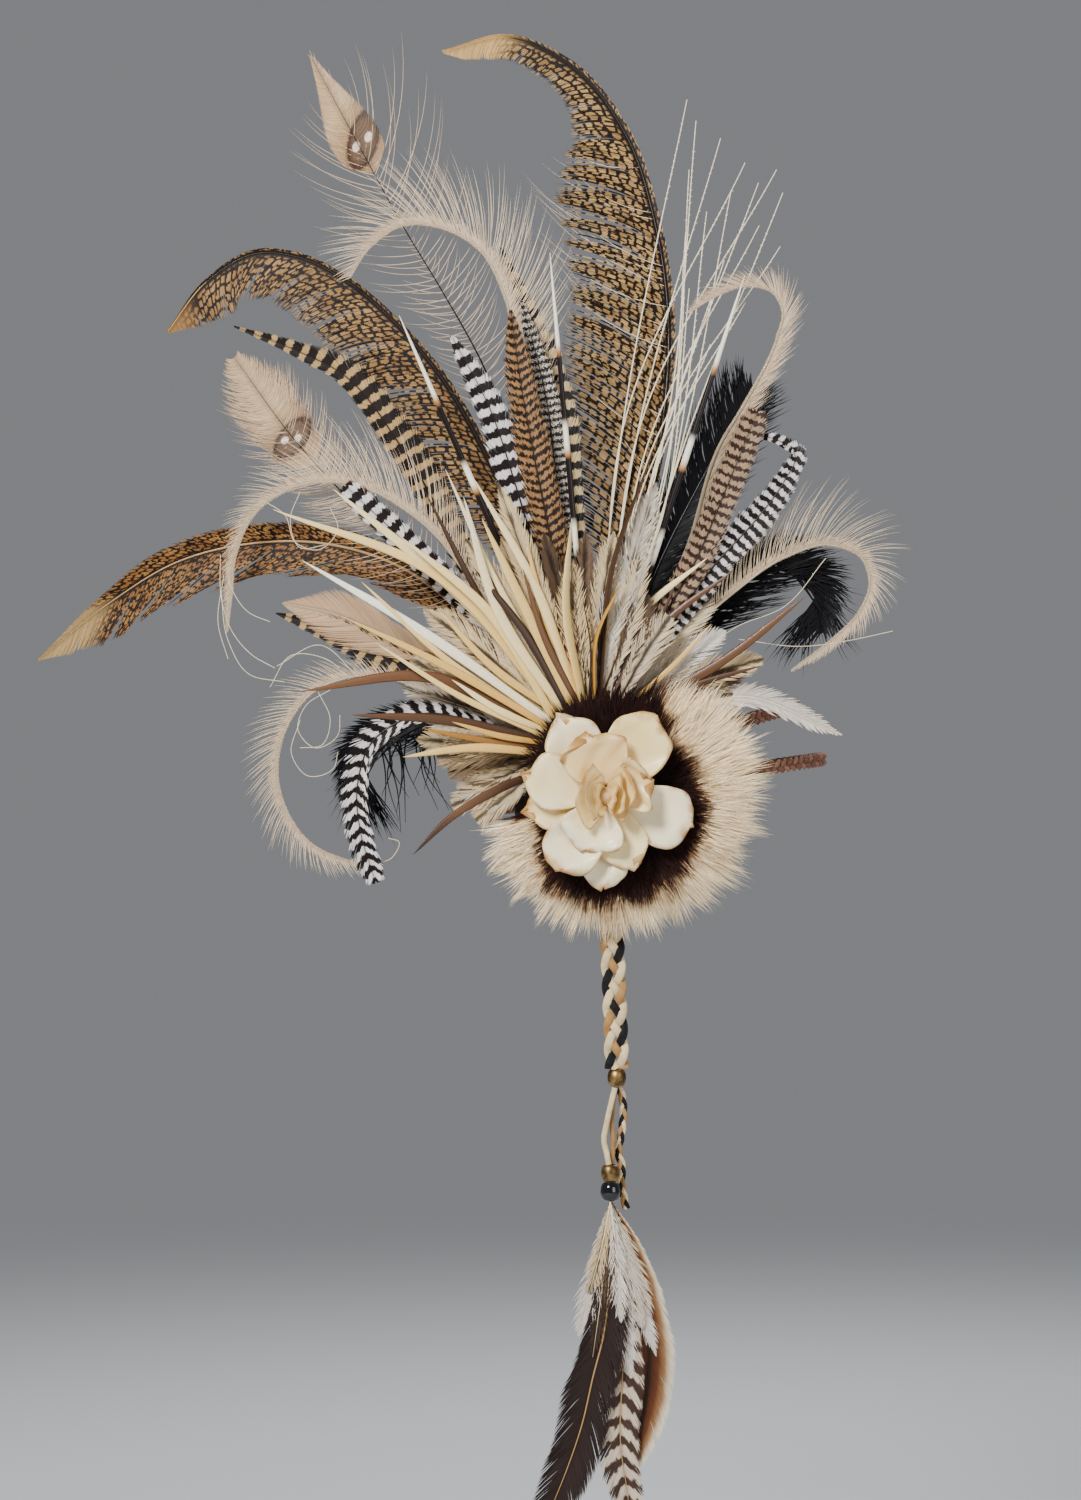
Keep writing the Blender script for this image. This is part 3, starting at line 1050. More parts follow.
# %% Biots and horn blades
# A row holds the root's heading in degrees, the tip, the bow, half the width and the tone of one blade.
BLADE_FORM = ((0, 0.75), (0.4, 1.0), (0.75, 0.72), (0.93, 0.30), (1, 0.03))
BLADE_SPRAYS = {
    "biots_back": (
        (82, (8.6, 42.7), 0.06, 0.0033, 0.12), (106, (-16.9, 38.6), -0.04, 0.0033, 0.86),
        (122, (-37, 37.2), -0.03, 0.0038, 0.84), (133, (-45.6, 34.3), -0.12, 0.0035, 0.80),
        (146, (-41.4, 27), -0.02, 0.0033, 0.98), (158, (-41.4, 8.4), -0.14, 0.0038, 0.30),
        (170, (-34.3, 5), -0.04, 0.0033, 0.22), (183, (-27, -1), -0.05, 0.0028, 0.72),
        (98, (-9.5, 30), 0.05, 0.0026, 0.70), (115, (-21, 40), 0.03, 0.0022, 0.88),
        (139, (-24, 37), 0.02, 0.0023, 0.10), (152, (-33, 24), 0.04, 0.0023, 0.78),
        (176, (-24, 3), 0.02, 0.0023, 0.40),
    ),
    "biots_front": (
        (88, (4.2, 24), 0.10, 0.0044, 0.52), (101, (-3, 33), 0.06, 0.0037, 0.82),
        (114, (-15.8, 33), 0.00, 0.0037, 0.76), (127, (-18.4, 36), 0.07, 0.0036, 0.88),
        (140, (-27.4, 30.4), -0.08, 0.0036, 0.82), (152, (-35, 18.7), -0.02, 0.0026, 0.68),
        (164, (-31, 15.3), 0.03, 0.0020, 0.80), (94, (-1.5, 22), -0.05, 0.0023, 0.08),
        (108, (-10, 26), 0.04, 0.0023, 0.30), (121, (-17, 26), -0.04, 0.0028, 0.10),
        (133, (-22, 20), 0.05, 0.0026, 0.72), (158, (-20, 10), 0.04, 0.0024, 0.86),
        (172, (-20, 4), 0.03, 0.0020, 0.62),
    ),
    "blades_right": (
        (46, (30.5, 22), -0.04, 0.0030, 0.28), (60, (20, 25.5), 0.10, 0.0026, 0.24),
        (76, (16.5, 27.5), 0.12, 0.0027, 0.84), (38, (24, 12), 0.05, 0.0022, 0.18),
        (54, (17, 18), -0.03, 0.0018, 0.70), (68, (12, 24), -0.04, 0.0018, 0.12),
    ),
}
for name, spray in BLADE_SPRAYS.items():
    lines = []
    for place, (root, tip, bow, width, tone) in enumerate(spray):
        line = bowed_line(name, root, tip, bow, lift=0.0004 * (place % 2))
        lines.append(blade_line(line, spans(BLADE_FORM, width, 60), tone + 0.05 * np.linspace(-1, 1, 60)))
    settle(blades(name + "_spray", lines, biot, 8, 0.22), name)

line = fan_line("horns", 205, ((-11, -4.5), (-15, -6.4), (-20, -9.5), (-25.6, -14.9)), 60)
tone = spans(((0, 0.08), (0.3, 0.22), (0.6, 0.30), (1, 0.05)), 1.0, 60)
row = blade_line(line, spans(BLADE_FORM, 0.0028, 60), tone)
settle(blades("horn_low_blade", [row], biot, 8, 0.30), "horn_low")

# %% Herl: bare white shafts with a few short hairs
HERL = ((73, (27.4, 79.7), 0.02), (79, (23.9, 81.1), 0.03), (85, (18.5, 87.5), 0.03), (91, (13.7, 93), 0.02),
        (76, (26.5, 83), 0.09), (82, (20, 80), -0.03), (71, (24, 75), 0.08), (88, (15, 90), -0.04),
        (68, (22, 64), 0.09), (70, (27, 72), 0.10), (74, (19, 70), 0.03), (76, (16.5, 77), -0.04),
        (82, (14, 83), -0.05), (77, (22, 84), 0.09), (66, (17, 58), 0.06), (78, (14, 66), -0.05),
        (80, (13.5, 74), -0.05))
LEFT_HAIRS, RIGHT_HAIRS = [((0, 0), (bare, 0), (0.6, 1), (0.95, 0.8), (1, 0.1)) for bare in (0.5, 0.4)]
lines = []
for root, tip, bow in HERL:
    line = bowed_line("tails_front", root, tip, bow, 70)
    lines += shaft_lines(line, (LEFT_HAIRS, 0.0010), (RIGHT_HAIRS, 0.0012), 0.42, 0.05, 0.0006, 0.9, tip=0.5)
herl = feather("herl_spray_feathers", lines, herl_white, shaft_pale,
               0.004, 0.0004, 2.0, 4, 0.2, 0.5, 0.1, 0.0, 60)
settle(herl, "herl_spray")

# %% Hackles: small soft feathers round the root, in rows like the blades'
HACKLE = ((0, 0), (0.08, 0.3), (0.30, 0.8), (0.55, 1.0), (0.80, 0.7), (1, 0.04))
HACKLE_SPRAYS = {
    "hackles_side": ("side_hackles", (
        (22, (35.6, 2.2), 0.18, 0.008, 0.95), (46, (24.5, 13), 0.05, 0.010, 0.58),
        (64, (17, 22), 0.02, 0.012, 0.78), (142, (-22, 20), 0.00, 0.011, 0.60),
        (160, (-27, 9), 0.00, 0.010, 0.85), (178, (-22, -1), 0.00, 0.010, 0.35),
        (194, (-20, -8), 0.00, 0.009, 0.70), (30, (20, 8), 0.05, 0.009, 0.75),
        (55, (19, 17), 0.03, 0.009, 0.98), (150, (-24, 14), 0.05, 0.009, 0.30),
        (169, (-23, 4), -0.04, 0.009, 0.92), (186, (-17, -5), 0.05, 0.008, 0.55),
        (155, (-25, 8), 0.04, 0.008, 0.12), (165, (-26, 13), -0.03, 0.010, 0.66),
        (173, (-25, 1.5), 0.02, 0.009, 0.60), (198, (-15, -8), 0.04, 0.008, 0.85),
        (200, (-18, -4), 0.02, 0.007, 0.20), (36, (22, 11), 0.02, 0.008, 0.15),
        (58, (14, 20), -0.03, 0.009, 0.62), (18, (17, 5), 0.04, 0.008, 0.60),
        (42, (15, 13), -0.02, 0.009, 0.90), (178, (-23.5, 5), 0.02, 0.010, 0.75),
        (182, (-21, 2), 0.03, 0.010, 0.62), (188, (-20.5, -3), -0.03, 0.010, 0.30),
        (192, (-19, -6), 0.03, 0.009, 0.86), (197, (-16.5, -10), 0.0, 0.009, 0.58),
    )),
    "hackles_top": ("hackles_top", (
        (70, (9, 38), 0.03, 0.011, 0.88), (88, (4, 24), 0.02, 0.010, 0.97),
        (108, (-13.5, 38), 0.00, 0.009, 0.62), (128, (-19, 24), 0.00, 0.011, 0.85),
        (80, (7, 28), -0.03, 0.009, 0.72), (98, (-3, 27), 0.04, 0.009, 0.55),
        (118, (-12, 24), 0.03, 0.009, 0.95), (103, (-7, 31), -0.02, 0.008, 0.10),
        (112, (-13, 30), 0.02, 0.009, 0.55), (122, (-18, 30), -0.02, 0.009, 0.70),
        (133, (-20, 19), 0.03, 0.009, 0.12), (140, (-24, 20), -0.03, 0.010, 0.66),
        (148, (-22, 14), 0.02, 0.009, 0.90), (92, (-1, 31), 0.02, 0.008, 0.18),
        (84, (3, 31), 0.03, 0.009, 0.66), (74, (8, 22), -0.02, 0.009, 0.14),
        (62, (11, 19), 0.02, 0.010, 0.80), (96, (-2, 20), 0.0, 0.010, 0.60),
        (126, (-13, 17), 0.0, 0.010, 0.62),
    )),
}
for number, (name, (layer, spray)) in enumerate(HACKLE_SPRAYS.items()):
    lines = []
    for place, (root, tip, bow, width, tone) in enumerate(spray):
        line = bowed_line(layer, root, tip, bow, 80, lift=0.0003 * (place % 3))
        lines += shaft_lines(line, (HACKLE, width), (HACKLE, width), 0.62, -0.35, 0.0007, tone)
    spray = feather(name + "_feathers", lines, hackle, shaft_hackle,
                    0.00085, 0.00095, 3.0, 5, 0.12, 0.25, 0.06, 0.08, 70 + number)
    settle(spray, name)

# %% [markdown]
# ## Braids
# In a flat braid every strand swings from side to side and dips over and under once for each column.
# Two sines describe that: one for the swing, one, a few times faster, for the dip. The same tree makes
# the suede headbands and the cords of the drop from a centre line.

# %% The braid tree
BRAID_INPUTS = (
    ("Geometry", "Geometry", None),
    ("Swing", "Float", 0.002),
    ("Dip", "Float", 0.001),
    ("Pitch", "Float", 0.011),
    ("Strand Radius", "Float", 0.0015),
    ("Flatness", "Float", 0.6),
    ("Skin", "Material", None),
)


def braid_tree(strands):
    sketch, given, result = new_group(f"braid_{strands}", "GeometryNodeTree", BRAID_INPUTS)
    route = sketch.add("GeometryNodeMeshToCurve", {"Mesh": given["Geometry"]})
    turn = sketch.read("along") / given["Pitch"] * (2 * math.pi)
    face, across = sketch.read("face", VECTOR), sketch.read("across", VECTOR)
    laces = []
    for strand in range(strands):
        phase = turn + 2 * math.pi * strand / strands
        dip = sketch.math("SINE" if strands % 2 else "COSINE", phase * (strands - 1.0))
        shift = across * (sketch.math("SINE", phase) * given["Swing"]) + face * (dip * given["Dip"])
        moved = sketch.add("GeometryNodeSetPosition", {"Geometry": route, "Offset": shift})
        moved = sketch.add("GeometryNodeSetCurveNormal", {"Curve": moved, "Normal": face}, mode="FREE")
        tube = tube_along(sketch, moved, 10, given["Flatness"], given["Strand Radius"])
        laces.append(sketch.store(tube, "tone", float(strand), "FLOAT"))
    sketch.fill(result, sketch.coloured(sketch.join(*laces), given["Skin"]))
    return sketch.tree


braid_3 = braid_tree(3)
braid_4 = braid_tree(4)


def braid(name, tree, source, *sizes):
    """A braid along a line. sizes are the swing, dip, pitch, strand radius, flatness and material."""
    labels = [label for label, kind, default in BRAID_INPUTS[1:]]
    return grown(name, tree, source, dict(zip(labels, sizes)))


def leather_paint(name, colours, roughness=0.7):
    """Lace or suede: one colour for each strand, napped by noise."""
    paint = Paint(name, roughness, sheen=0.15, shine=0.2)
    where = paint.where()
    colour = blend(soft_step(noise(where, 120.0), 0.3, 0.8), colours[0], darker(colours[0], 0.7))
    strand = paint.carried("tone")
    for number, other in enumerate(colours[1:], 1):
        colour = blend(paint.math("GREATER_THAN", strand, number - 0.5), colour, other)
    paint.feed("Base Color", colour * (0.75 + noise(where, 260.0, 4.0) * 0.5))
    paint.bump(noise(where, 1400.0, 3.0), 0.3, 0.0004)
    return paint.material


CREAM, TAN, BLACK = tint(228, 208, 170), tint(178, 142, 94), tint(25, 22, 22)
suede = leather_paint("suede", (tint(146, 108, 90), tint(156, 118, 98), tint(134, 98, 82)), 0.85)
lace_braid = leather_paint("lace_braid", (CREAM, TAN, CREAM, BLACK))
lace_tail = leather_paint("lace_tail", (CREAM, TAN, BLACK))
lace_cream = leather_paint("lace_cream", (CREAM,))
lace_tan = leather_paint("lace_tan", (TAN,))

# %% Free cords of the drop
BRAID_POINTS = ((-0.0366, -0.0866, -0.0776), (-0.0362, -0.0868, -0.100), (-0.0352, -0.0872, -0.128),
                (-0.0342, -0.0875, -0.154), (-0.0336, -0.0875, -0.1768))
CREAM_POINTS = ((-0.0348, -0.0905, -0.1880), (-0.0372, -0.0905, -0.198), (-0.0396, -0.0905, -0.209),
                (-0.0413, -0.0905, -0.220), (-0.0396, -0.0903, -0.228), (-0.0384, -0.0900, -0.2342))
TAN_POINTS = ((-0.0344, -0.0873, -0.1880), (-0.0358, -0.0870, -0.198), (-0.0366, -0.0868, -0.209),
              (-0.0358, -0.0866, -0.220), (-0.0360, -0.0864, -0.228), (-0.0366, -0.0862, -0.2342))
TAIL_POINTS = ((-0.0320, -0.0842, -0.1880), (-0.0300, -0.0836, -0.196), (-0.0296, -0.0826, -0.206),
               (-0.0310, -0.0818, -0.218), (-0.0326, -0.0812, -0.227), (-0.0304, -0.0806, -0.236),
               (-0.0306, -0.0804, -0.247), (-0.0290, -0.0804, -0.256), (-0.0278, -0.0804, -0.262))


def cord_line(points, count, thick=0.001):
    """The line of a cord that hangs in front of the head, its face to the front."""
    line = smooth_route(points, count)
    return {"points": line, "across": directions(line)[1], "face": np.broadcast_to(FRONT, line.shape),
            "thick": np.full(count, thick), "along": length_along(line), "tone": np.full(count, 0.5)}


drop_braid = braid("drop_braid_laces", braid_4, line_mesh("drop_braid", [cord_line(BRAID_POINTS, 200)]),
                   0.0050, 0.0018, 0.0500, 0.0026, 0.52, lace_braid)
settle(drop_braid, "drop_braid")
drop_tail = braid("drop_tail_laces", braid_3, line_mesh("drop_tail", [cord_line(TAIL_POINTS, 160)]),
                  0.0013, 0.0006, 0.0210, 0.0013, 0.60, lace_tail)
settle(drop_tail, "drop_tail_braid")
drop_cream = blades("drop_cream_lace", [cord_line(CREAM_POINTS, 60, 0.0017)], lace_cream, 12, 0.7)
settle(drop_cream, "drop_cord_cream")
drop_tan = blades("drop_tan_lace", [cord_line(TAN_POINTS, 60, 0.0015)], lace_tan, 12, 0.7)
settle(drop_tan, "drop_cord_tan")

# %% Headbands
HEAD_WIDEST_X = -0.028
HEAD_HALF_WIDTH = 0.075
BACK_REACH = 0.075
BAND_THICK = 0.003
BAND_PITCH = 0.0150
BAND_COUNT = 500
Band = namedtuple("Band", "name front_reach middle_z rise")
BANDS = (
    Band("lower_strap", 0.123, -0.0093, 0.15),
    Band("upper_strap", 0.106, 0.0103, 0.30),
)
for band in BANDS:
    turn = np.linspace(0, 2 * math.pi, BAND_COUNT, endpoint=False)
    grow = BAND_THICK / 2
    reach = np.where(np.cos(turn) > 0, band.front_reach, BACK_REACH) + grow
    x = HEAD_WIDEST_X + reach * np.cos(turn)
    z = band.middle_z + band.rise * (x - HEAD_WIDEST_X)
    loop = np.stack([x, (HEAD_HALF_WIDTH + grow) * np.sin(turn), z], axis=1)
    way = np.roll(loop, -1, axis=0) - np.roll(loop, 1, axis=0)
    way /= np.linalg.norm(way, axis=1)[:, None]
    face = np.cross(way, (0.0, 0.0, 1.0))
    face /= np.linalg.norm(face, axis=1)[:, None]
    steps = np.linalg.norm(np.roll(loop, -1, axis=0) - loop, axis=1)
    columns = round(steps.sum() / BAND_PITCH)
    row = {"points": loop, "across": np.cross(face, way), "face": face,
           "along": np.concatenate([[0.0], np.cumsum(steps)[:-1]]), "tone": np.zeros(BAND_COUNT)}
    source = line_mesh(band.name, [row])
    closing = bmesh.new()
    closing.from_mesh(source)
    closing.verts.ensure_lookup_table()
    closing.edges.new((closing.verts[-1], closing.verts[0]))
    closing.to_mesh(source)
    closing.free()
    laces = braid(band.name + "_laces", braid_3, source,
                  0.0030, 0.0015, steps.sum() / columns, 0.0015, 0.85, suede)
    settle(laces, band.name)

# %% [markdown]
# ## Beads
# The two brass beads and the black bead are turned: one profile spun round a vertical axis. A real bead
# has a hole with a rounded lip, and old brass is dull and patchy.

# %% Beads
def turned(name, profile, axis_at, segments=48, tilt=False):
    """A closed solid of revolution from (radius, height) rows, top first. tilt turns its axis to the front."""
    shape = bmesh.new()
    rings = []
    for radius, height in profile:
        ring = []
        for k in range(segments):
            turn = 2 * math.pi * k / segments
            point = (radius * math.cos(turn), radius * math.sin(turn), height)
            if tilt:
                point = (point[0], -point[2], point[1])
            ring.append(shape.verts.new([a + b for a, b in zip(axis_at, point)]))
        rings.append(ring)
    for above, below in zip(rings, rings[1:]):
        for k in range(segments):
            shape.faces.new((above[k], below[k], below[k - 1], above[k - 1]))
    shape.faces.new(rings[0][::-1])
    shape.faces.new(rings[-1])
    bmesh.ops.recalc_face_normals(shape, faces=shape.faces[:])
    for face in shape.faces:
        face.smooth = len(face.verts) == 4
    mesh = bpy.data.meshes.new(name)
    shape.to_mesh(mesh)
    shape.free()
    return placed(name, mesh)


def metal_paint(name, bright, dull, roughness):
    paint = Paint(name, roughness, metallic=1.0)
    patch = noise(paint.where(), 240.0, 5.0)
    paint.feed("Base Color", blend(soft_step(patch, 0.40, 0.62), bright, dull))
    paint.feed("Roughness", roughness - 0.1 + patch * 0.3)
    return paint.material


brass = metal_paint("old_brass", tint(178, 152, 108), tint(124, 102, 72), 0.36)
paint = Paint("black_glass", 0.08, coat=0.5)
paint.feed("Base Color", blend(noise(paint.where(), 120.0), tint(12, 13, 16), tint(26, 28, 34)))
black_glass = paint.material

Bead = namedtuple("Bead", "name slot x y top radius length skin")
BEADS = (
    Bead("brass_bead_upper", "brass", -0.0336, -0.0875, -0.1771, 0.0056, 0.0102, brass),
    Bead("brass_bead_lower", "brass", -0.0375, -0.0881, -0.2345, 0.0056, 0.0102, brass),
    Bead("black_bead", "black_bead", -0.0375, -0.0881, -0.2450, 0.0060, 0.0112, black_glass),
)
HOLE_RADIUS = 0.0022
LIP = 0.0006
BEAD_STEPS = 24
for bead in BEADS:
    half = bead.length / 2
    upper = [(HOLE_RADIUS, half - LIP), (HOLE_RADIUS + 0.0002, half)]
    middle = []
    for step in range(1, BEAD_STEPS):
        turn = math.pi * (0.5 - step / BEAD_STEPS)
        wide = HOLE_RADIUS + LIP + (bead.radius - HOLE_RADIUS - LIP) * math.cos(turn) ** 0.8
        middle.append((wide, half * math.sin(turn)))
    lower = [(radius, -height) for radius, height in reversed(upper)]
    ball = turned(bead.name + "_ball", upper + middle + lower, (bead.x, bead.y, bead.top - half))
    ball.data.materials.append(bead.skin)
    settle(ball, bead.name)

CORDS = (
    (drop_braid, BRAID_POINTS, 0.0145, "fitting", ["brass_bead_upper_ball"]),
    (drop_cream, CREAM_POINTS, 0.0032, "fitting", ["brass_bead_lower_ball"]),
    (drop_tan, TAN_POINTS, 0.0030, "fitting", ["brass_bead_lower_ball"]),
    (drop_tail, TAIL_POINTS, 0.0045, "bare", []),
)
for piece, points, diameter, far_end, on_it in CORDS:
    path = smooth_route(points, 60)
    length = float(length_along(path)[-1])
    print(piece.name, "is a cord of", round(length * 1000), "mm")

# %% [markdown]
# ## Fur
# The rosette lies on a disc of fur: dark underfur in the middle and long cream hairs round the rim. Each
# hair is a narrow strip of a few faces. A smooth random field pushes neighbouring hairs the same way, so
# they gather in locks without any bookkeeping of which hair belongs to which lock.

# %% The fur tree
FUR_INPUTS = (
    ("Geometry", "Geometry", None),
    ("Density", "Float", 100000.0),
    ("Hair Width", "Float", 0.0004),
    ("Segments", "Int", 4),
    ("Clump", "Float", 0.35),
    ("Clump Size", "Float", 140.0),
    ("Stray", "Float", 0.15),
    ("Seed", "Int", 0),
    ("Skin", "Material", None),
)
sketch, given, result = new_group("fur", "GeometryNodeTree", FUR_INPUTS)
spread = sketch.node("GeometryNodeDistributePointsOnFaces", {
    "Mesh": given["Geometry"], "Density": given["Density"], "Seed": given["Seed"]}, distribute_method="RANDOM")
points, normal = (Wire(sketch, spread.outputs[label]) for label in ("Points", "Normal"))
field = noise(sketch.add("GeometryNodeInputPosition"), given["Clump Size"], 1.0, output=1)
roots = sketch.store(sketch.store(points, "up", normal), "gather", field - (0.5, 0.5, 0.5))
hairs = strips_on(sketch, roots, given)
out = sketch.read("out")
base, comb, fall, up, gather, chance = (
    sketch.read(name, VECTOR) for name in ("base", "way", "across", "up", "gather", "chance"))
length = sketch.read("reach") * (0.85 + sketch.parts(chance).x * 0.2)
bent = out * out
way = comb * out + fall * bent + gather * given["Clump"] * bent + chance * given["Stray"] * bent
broad = sketch.vector("NORMALIZE", sketch.vector("CROSS_PRODUCT", comb, up + chance * 0.5))
half = given["Hair Width"] * 0.5 * (1.0 - sketch.math("POWER", out, 2.0))
place = base + way * length + broad * (half * sketch.read("edge"))
hairs = sketch.add("GeometryNodeSetPosition", {"Geometry": hairs, "Position": place})
hairs, skin = (sketch.coloured(geometry, given["Skin"]) for geometry in (hairs, given["Geometry"]))
sketch.fill(result, sketch.join(hairs, skin))
fur_tree = sketch.tree

paint = Paint("fur_hair", 0.75, sheen=0.1, shine=0.1)
luck = paint.parts(paint.carried("chance", "Vector"))
number = paint.carried("tone") + luck.y * 0.22 + (noise(paint.where(), 90.0) - 0.5) * 0.7
colour = ramp(number, stops((0.0, 52, 30, 26), (0.42, 84, 50, 38), (0.52, 190, 150, 110), (0.62, 242, 219, 180),
                            (1.0, 252, 235, 202)))
light = (0.82 + paint.carried("out") * 0.42) * (1.0 + luck.z * 0.10)
paint.feed("Base Color", colour * light)
fur_skin = paint.material

# %% The pelt and its hairs
FUR_CENTRE = (-0.0336, -0.015)
FUR_BACK = -0.1143
FUR_REACH = 0.093
FUR_PILE = 0.0150
FUR_DROOP = 0.017
FUR_LAID = 0.62
FUR_HUMP = 0.62
BARE_DARK = 0.08
FurSector = namedtuple("FurSector", "heading reach droop dark")
FUR_SECTORS = [FurSector(*row) for row in (
    (0, 0.95, 0.80, 0.054), (20, 1.00, 0.45, 0.052), (46, 1.00, 0.10, 0.049), (64, 0.82, 0.00, 0.060),
    (82, 0.80, 0.00, 0.090), (105, 0.80, 0.00, 0.090), (130, 0.78, 0.00, 0.090), (150, 0.74, 0.00, 0.090),
    (166, 0.66, 0.00, 0.090), (186, 0.62, 0.00, 0.090), (192, 0.84, 0.50, 0.049), (202, 0.94, 0.90, 0.053),
    (235, 0.90, 1.00, 0.064), (265, 0.88, 1.00, 0.061), (308, 0.88, 1.00, 0.058), (340, 0.93, 1.00, 0.055),
    (360, 0.95, 0.80, 0.054),
)]
TURNS = 120
STEPS = 14
RIM_SHARE = 0.80
headings = np.linspace(0, 360, TURNS, endpoint=False)
marks = [row.heading for row in FUR_SECTORS]
reach = np.interp(headings, marks, [row.reach for row in FUR_SECTORS]) * FUR_REACH
droop = np.interp(headings, marks, [row.droop for row in FUR_SECTORS])
dark = np.interp(headings, marks, [row.dark for row in FUR_SECTORS])
turn = np.radians(headings)
comb, fall, length, tone, where = [], [], [], [], []
for share in np.linspace(0.06, RIM_SHARE, STEPS):
    bank = (share / RIM_SHARE) ** 2
    lift = math.radians(62 - 44 * bank)
    height = FUR_PILE * (FUR_HUMP - 0.42 * bank)
    sag = droop * FUR_DROOP * max(0.0, share - FUR_LAID) / (1 - FUR_LAID)
    for k in range(TURNS):
        out = np.array([math.cos(turn[k]), 0.0, math.sin(turn[k])])
        radius = reach[k] * share
        where.append((FUR_CENTRE[0] + radius * out[0], FUR_BACK - height + sag[k],
                      FUR_CENTRE[1] + radius * out[2]))
        comb.append(out * math.cos(lift) + FRONT * math.sin(lift))
        fall.append(out * 0.35 * bank - FRONT * (0.25 + 0.9 * bank * droop[k]))
        if dark[k] > BARE_DARK:
            length.append(min(0.011, 0.7 * reach[k] * (1.04 - share) + 0.004))
        else:
            length.append(0.010 + 0.008 * bank)
        tone.append(min(1.0, max(0.0, 0.5 + (radius - dark[k] + 0.006) / 0.012)))
where.append((FUR_CENTRE[0], FUR_BACK - FUR_PILE * FUR_HUMP, FUR_CENTRE[1]))
comb.append(FRONT)
fall.append(np.zeros(3))
length.append(0.009)
tone.append(0.0)
after = [(k + 1) % TURNS for k in range(TURNS)]
faces = [(i * TURNS + k, i * TURNS + after[k], (i + 1) * TURNS + after[k], (i + 1) * TURNS + k)
         for i in range(STEPS - 1) for k in range(TURNS)]
faces += [(len(where) - 1, after[k], k) for k in range(TURNS)]
pelt_mesh = bpy.data.meshes.new("pelt")
pelt_mesh.from_pydata(where, [], faces)
pelt = bmesh.new()
pelt.from_mesh(pelt_mesh)
bmesh.ops.recalc_face_normals(pelt, faces=pelt.faces[:])
if pelt.faces[0].normal.y > 0:
    bmesh.ops.reverse_faces(pelt, faces=pelt.faces[:])
pelt.to_mesh(pelt_mesh)
pelt.free()
carrying(pelt_mesh, {"way": comb, "across": fall, "reach": length, "tone": tone})
fur = grown("fur_disc_hairs", fur_tree, pelt_mesh, {
    "Density": 1150000.0, "Hair Width": 0.00054, "Segments": 3, "Clump": 1.5, "Clump Size": 130.0,
    "Stray": 0.12, "Seed": 3, "Skin": fur_skin})
settle(fur, "fur_disc")

# %% [markdown]
# ## The flower
# The petals are stiff and shell-like, with soft rolled edges that browned as they dried. A petal is a
# grid of points: a width that grows and shrinks along it, a bowl for the depth, and waves that grow
# towards the edge. Thickness is added at the end, so both sides stay parallel.

# %% Petal material
paint = Paint("petal_shell", 0.42, coat=0.12)
where = paint.where()
along = paint.carried("along")
cloud = (noise(where, 38.0, 2.0) - 0.5) * 0.9
ivory = ramp(paint.carried("tone") + cloud,
             stops((0.0, 253, 243, 214), (0.5, 250, 228, 168), (1.0, 232, 198, 148)))
stain = paint.carried("edge") + (noise(where, 95.0, 3.0) - 0.5) * 0.55 + (along - 0.85) * 0.4
colour = blend(soft_step(stain, 0.78, 1.08), ivory, tint(196, 152, 88))
fleck = soft_step(noise(where, 420.0, 2.0), 0.70, 0.78)
colour = blend(fleck * 0.35, colour, tint(170, 120, 76))
deep = soft_step(along, 0.35, 0.0)
paint.feed("Base Color", blend(deep * 0.6, colour, tint(190, 150, 110)))
stretched = paint.vector("MULTIPLY", paint.carried("mark", "Vector"), (1.0, 0.12, 1.0))
paint.bump(noise(stretched, 900.0), 0.25, 0.0004)
petal_skin = paint.material

# %% Petals
FLOWER_X = -0.0408
FLOWER_Z = -0.012
PETAL_REACH = 0.056
PETAL_THICK = 0.0012
PETAL_PITCH = 0.0033
FLOWER_FRONT = -0.1296
STEM_RADIUS = 0.0058
ACROSS, ALONG = 28, 30
WIDEST = 0.517


def patch_object(name, grid, marks, thick):
    """A petal through a grid of points, given thickness. marks holds what each point carries."""
    rows, columns = grid.shape[:2]
    points = grid.reshape(-1, 3)
    faces = [(i * columns + j, i * columns + j + 1, (i + 1) * columns + j + 1, (i + 1) * columns + j)
             for i in range(rows - 1) for j in range(columns - 1)]
    mesh = bpy.data.meshes.new(name)
    mesh.from_pydata(points.tolist(), [], faces)
    carrying(mesh, marks)
    mesh.materials.append(petal_skin)
    mesh.shade_smooth()
    obj = placed(name, mesh)
    solid = obj.modifiers.new("thickness", "SOLIDIFY")
    solid.thickness = thick
    solid.offset = 0.0
    made = baked(obj, solid)
    work = bmesh.new()
    work.from_mesh(made)
    bmesh.ops.recalc_face_normals(work, faces=work.faces[:])
    work.to_mesh(made)
    work.free()
    return obj


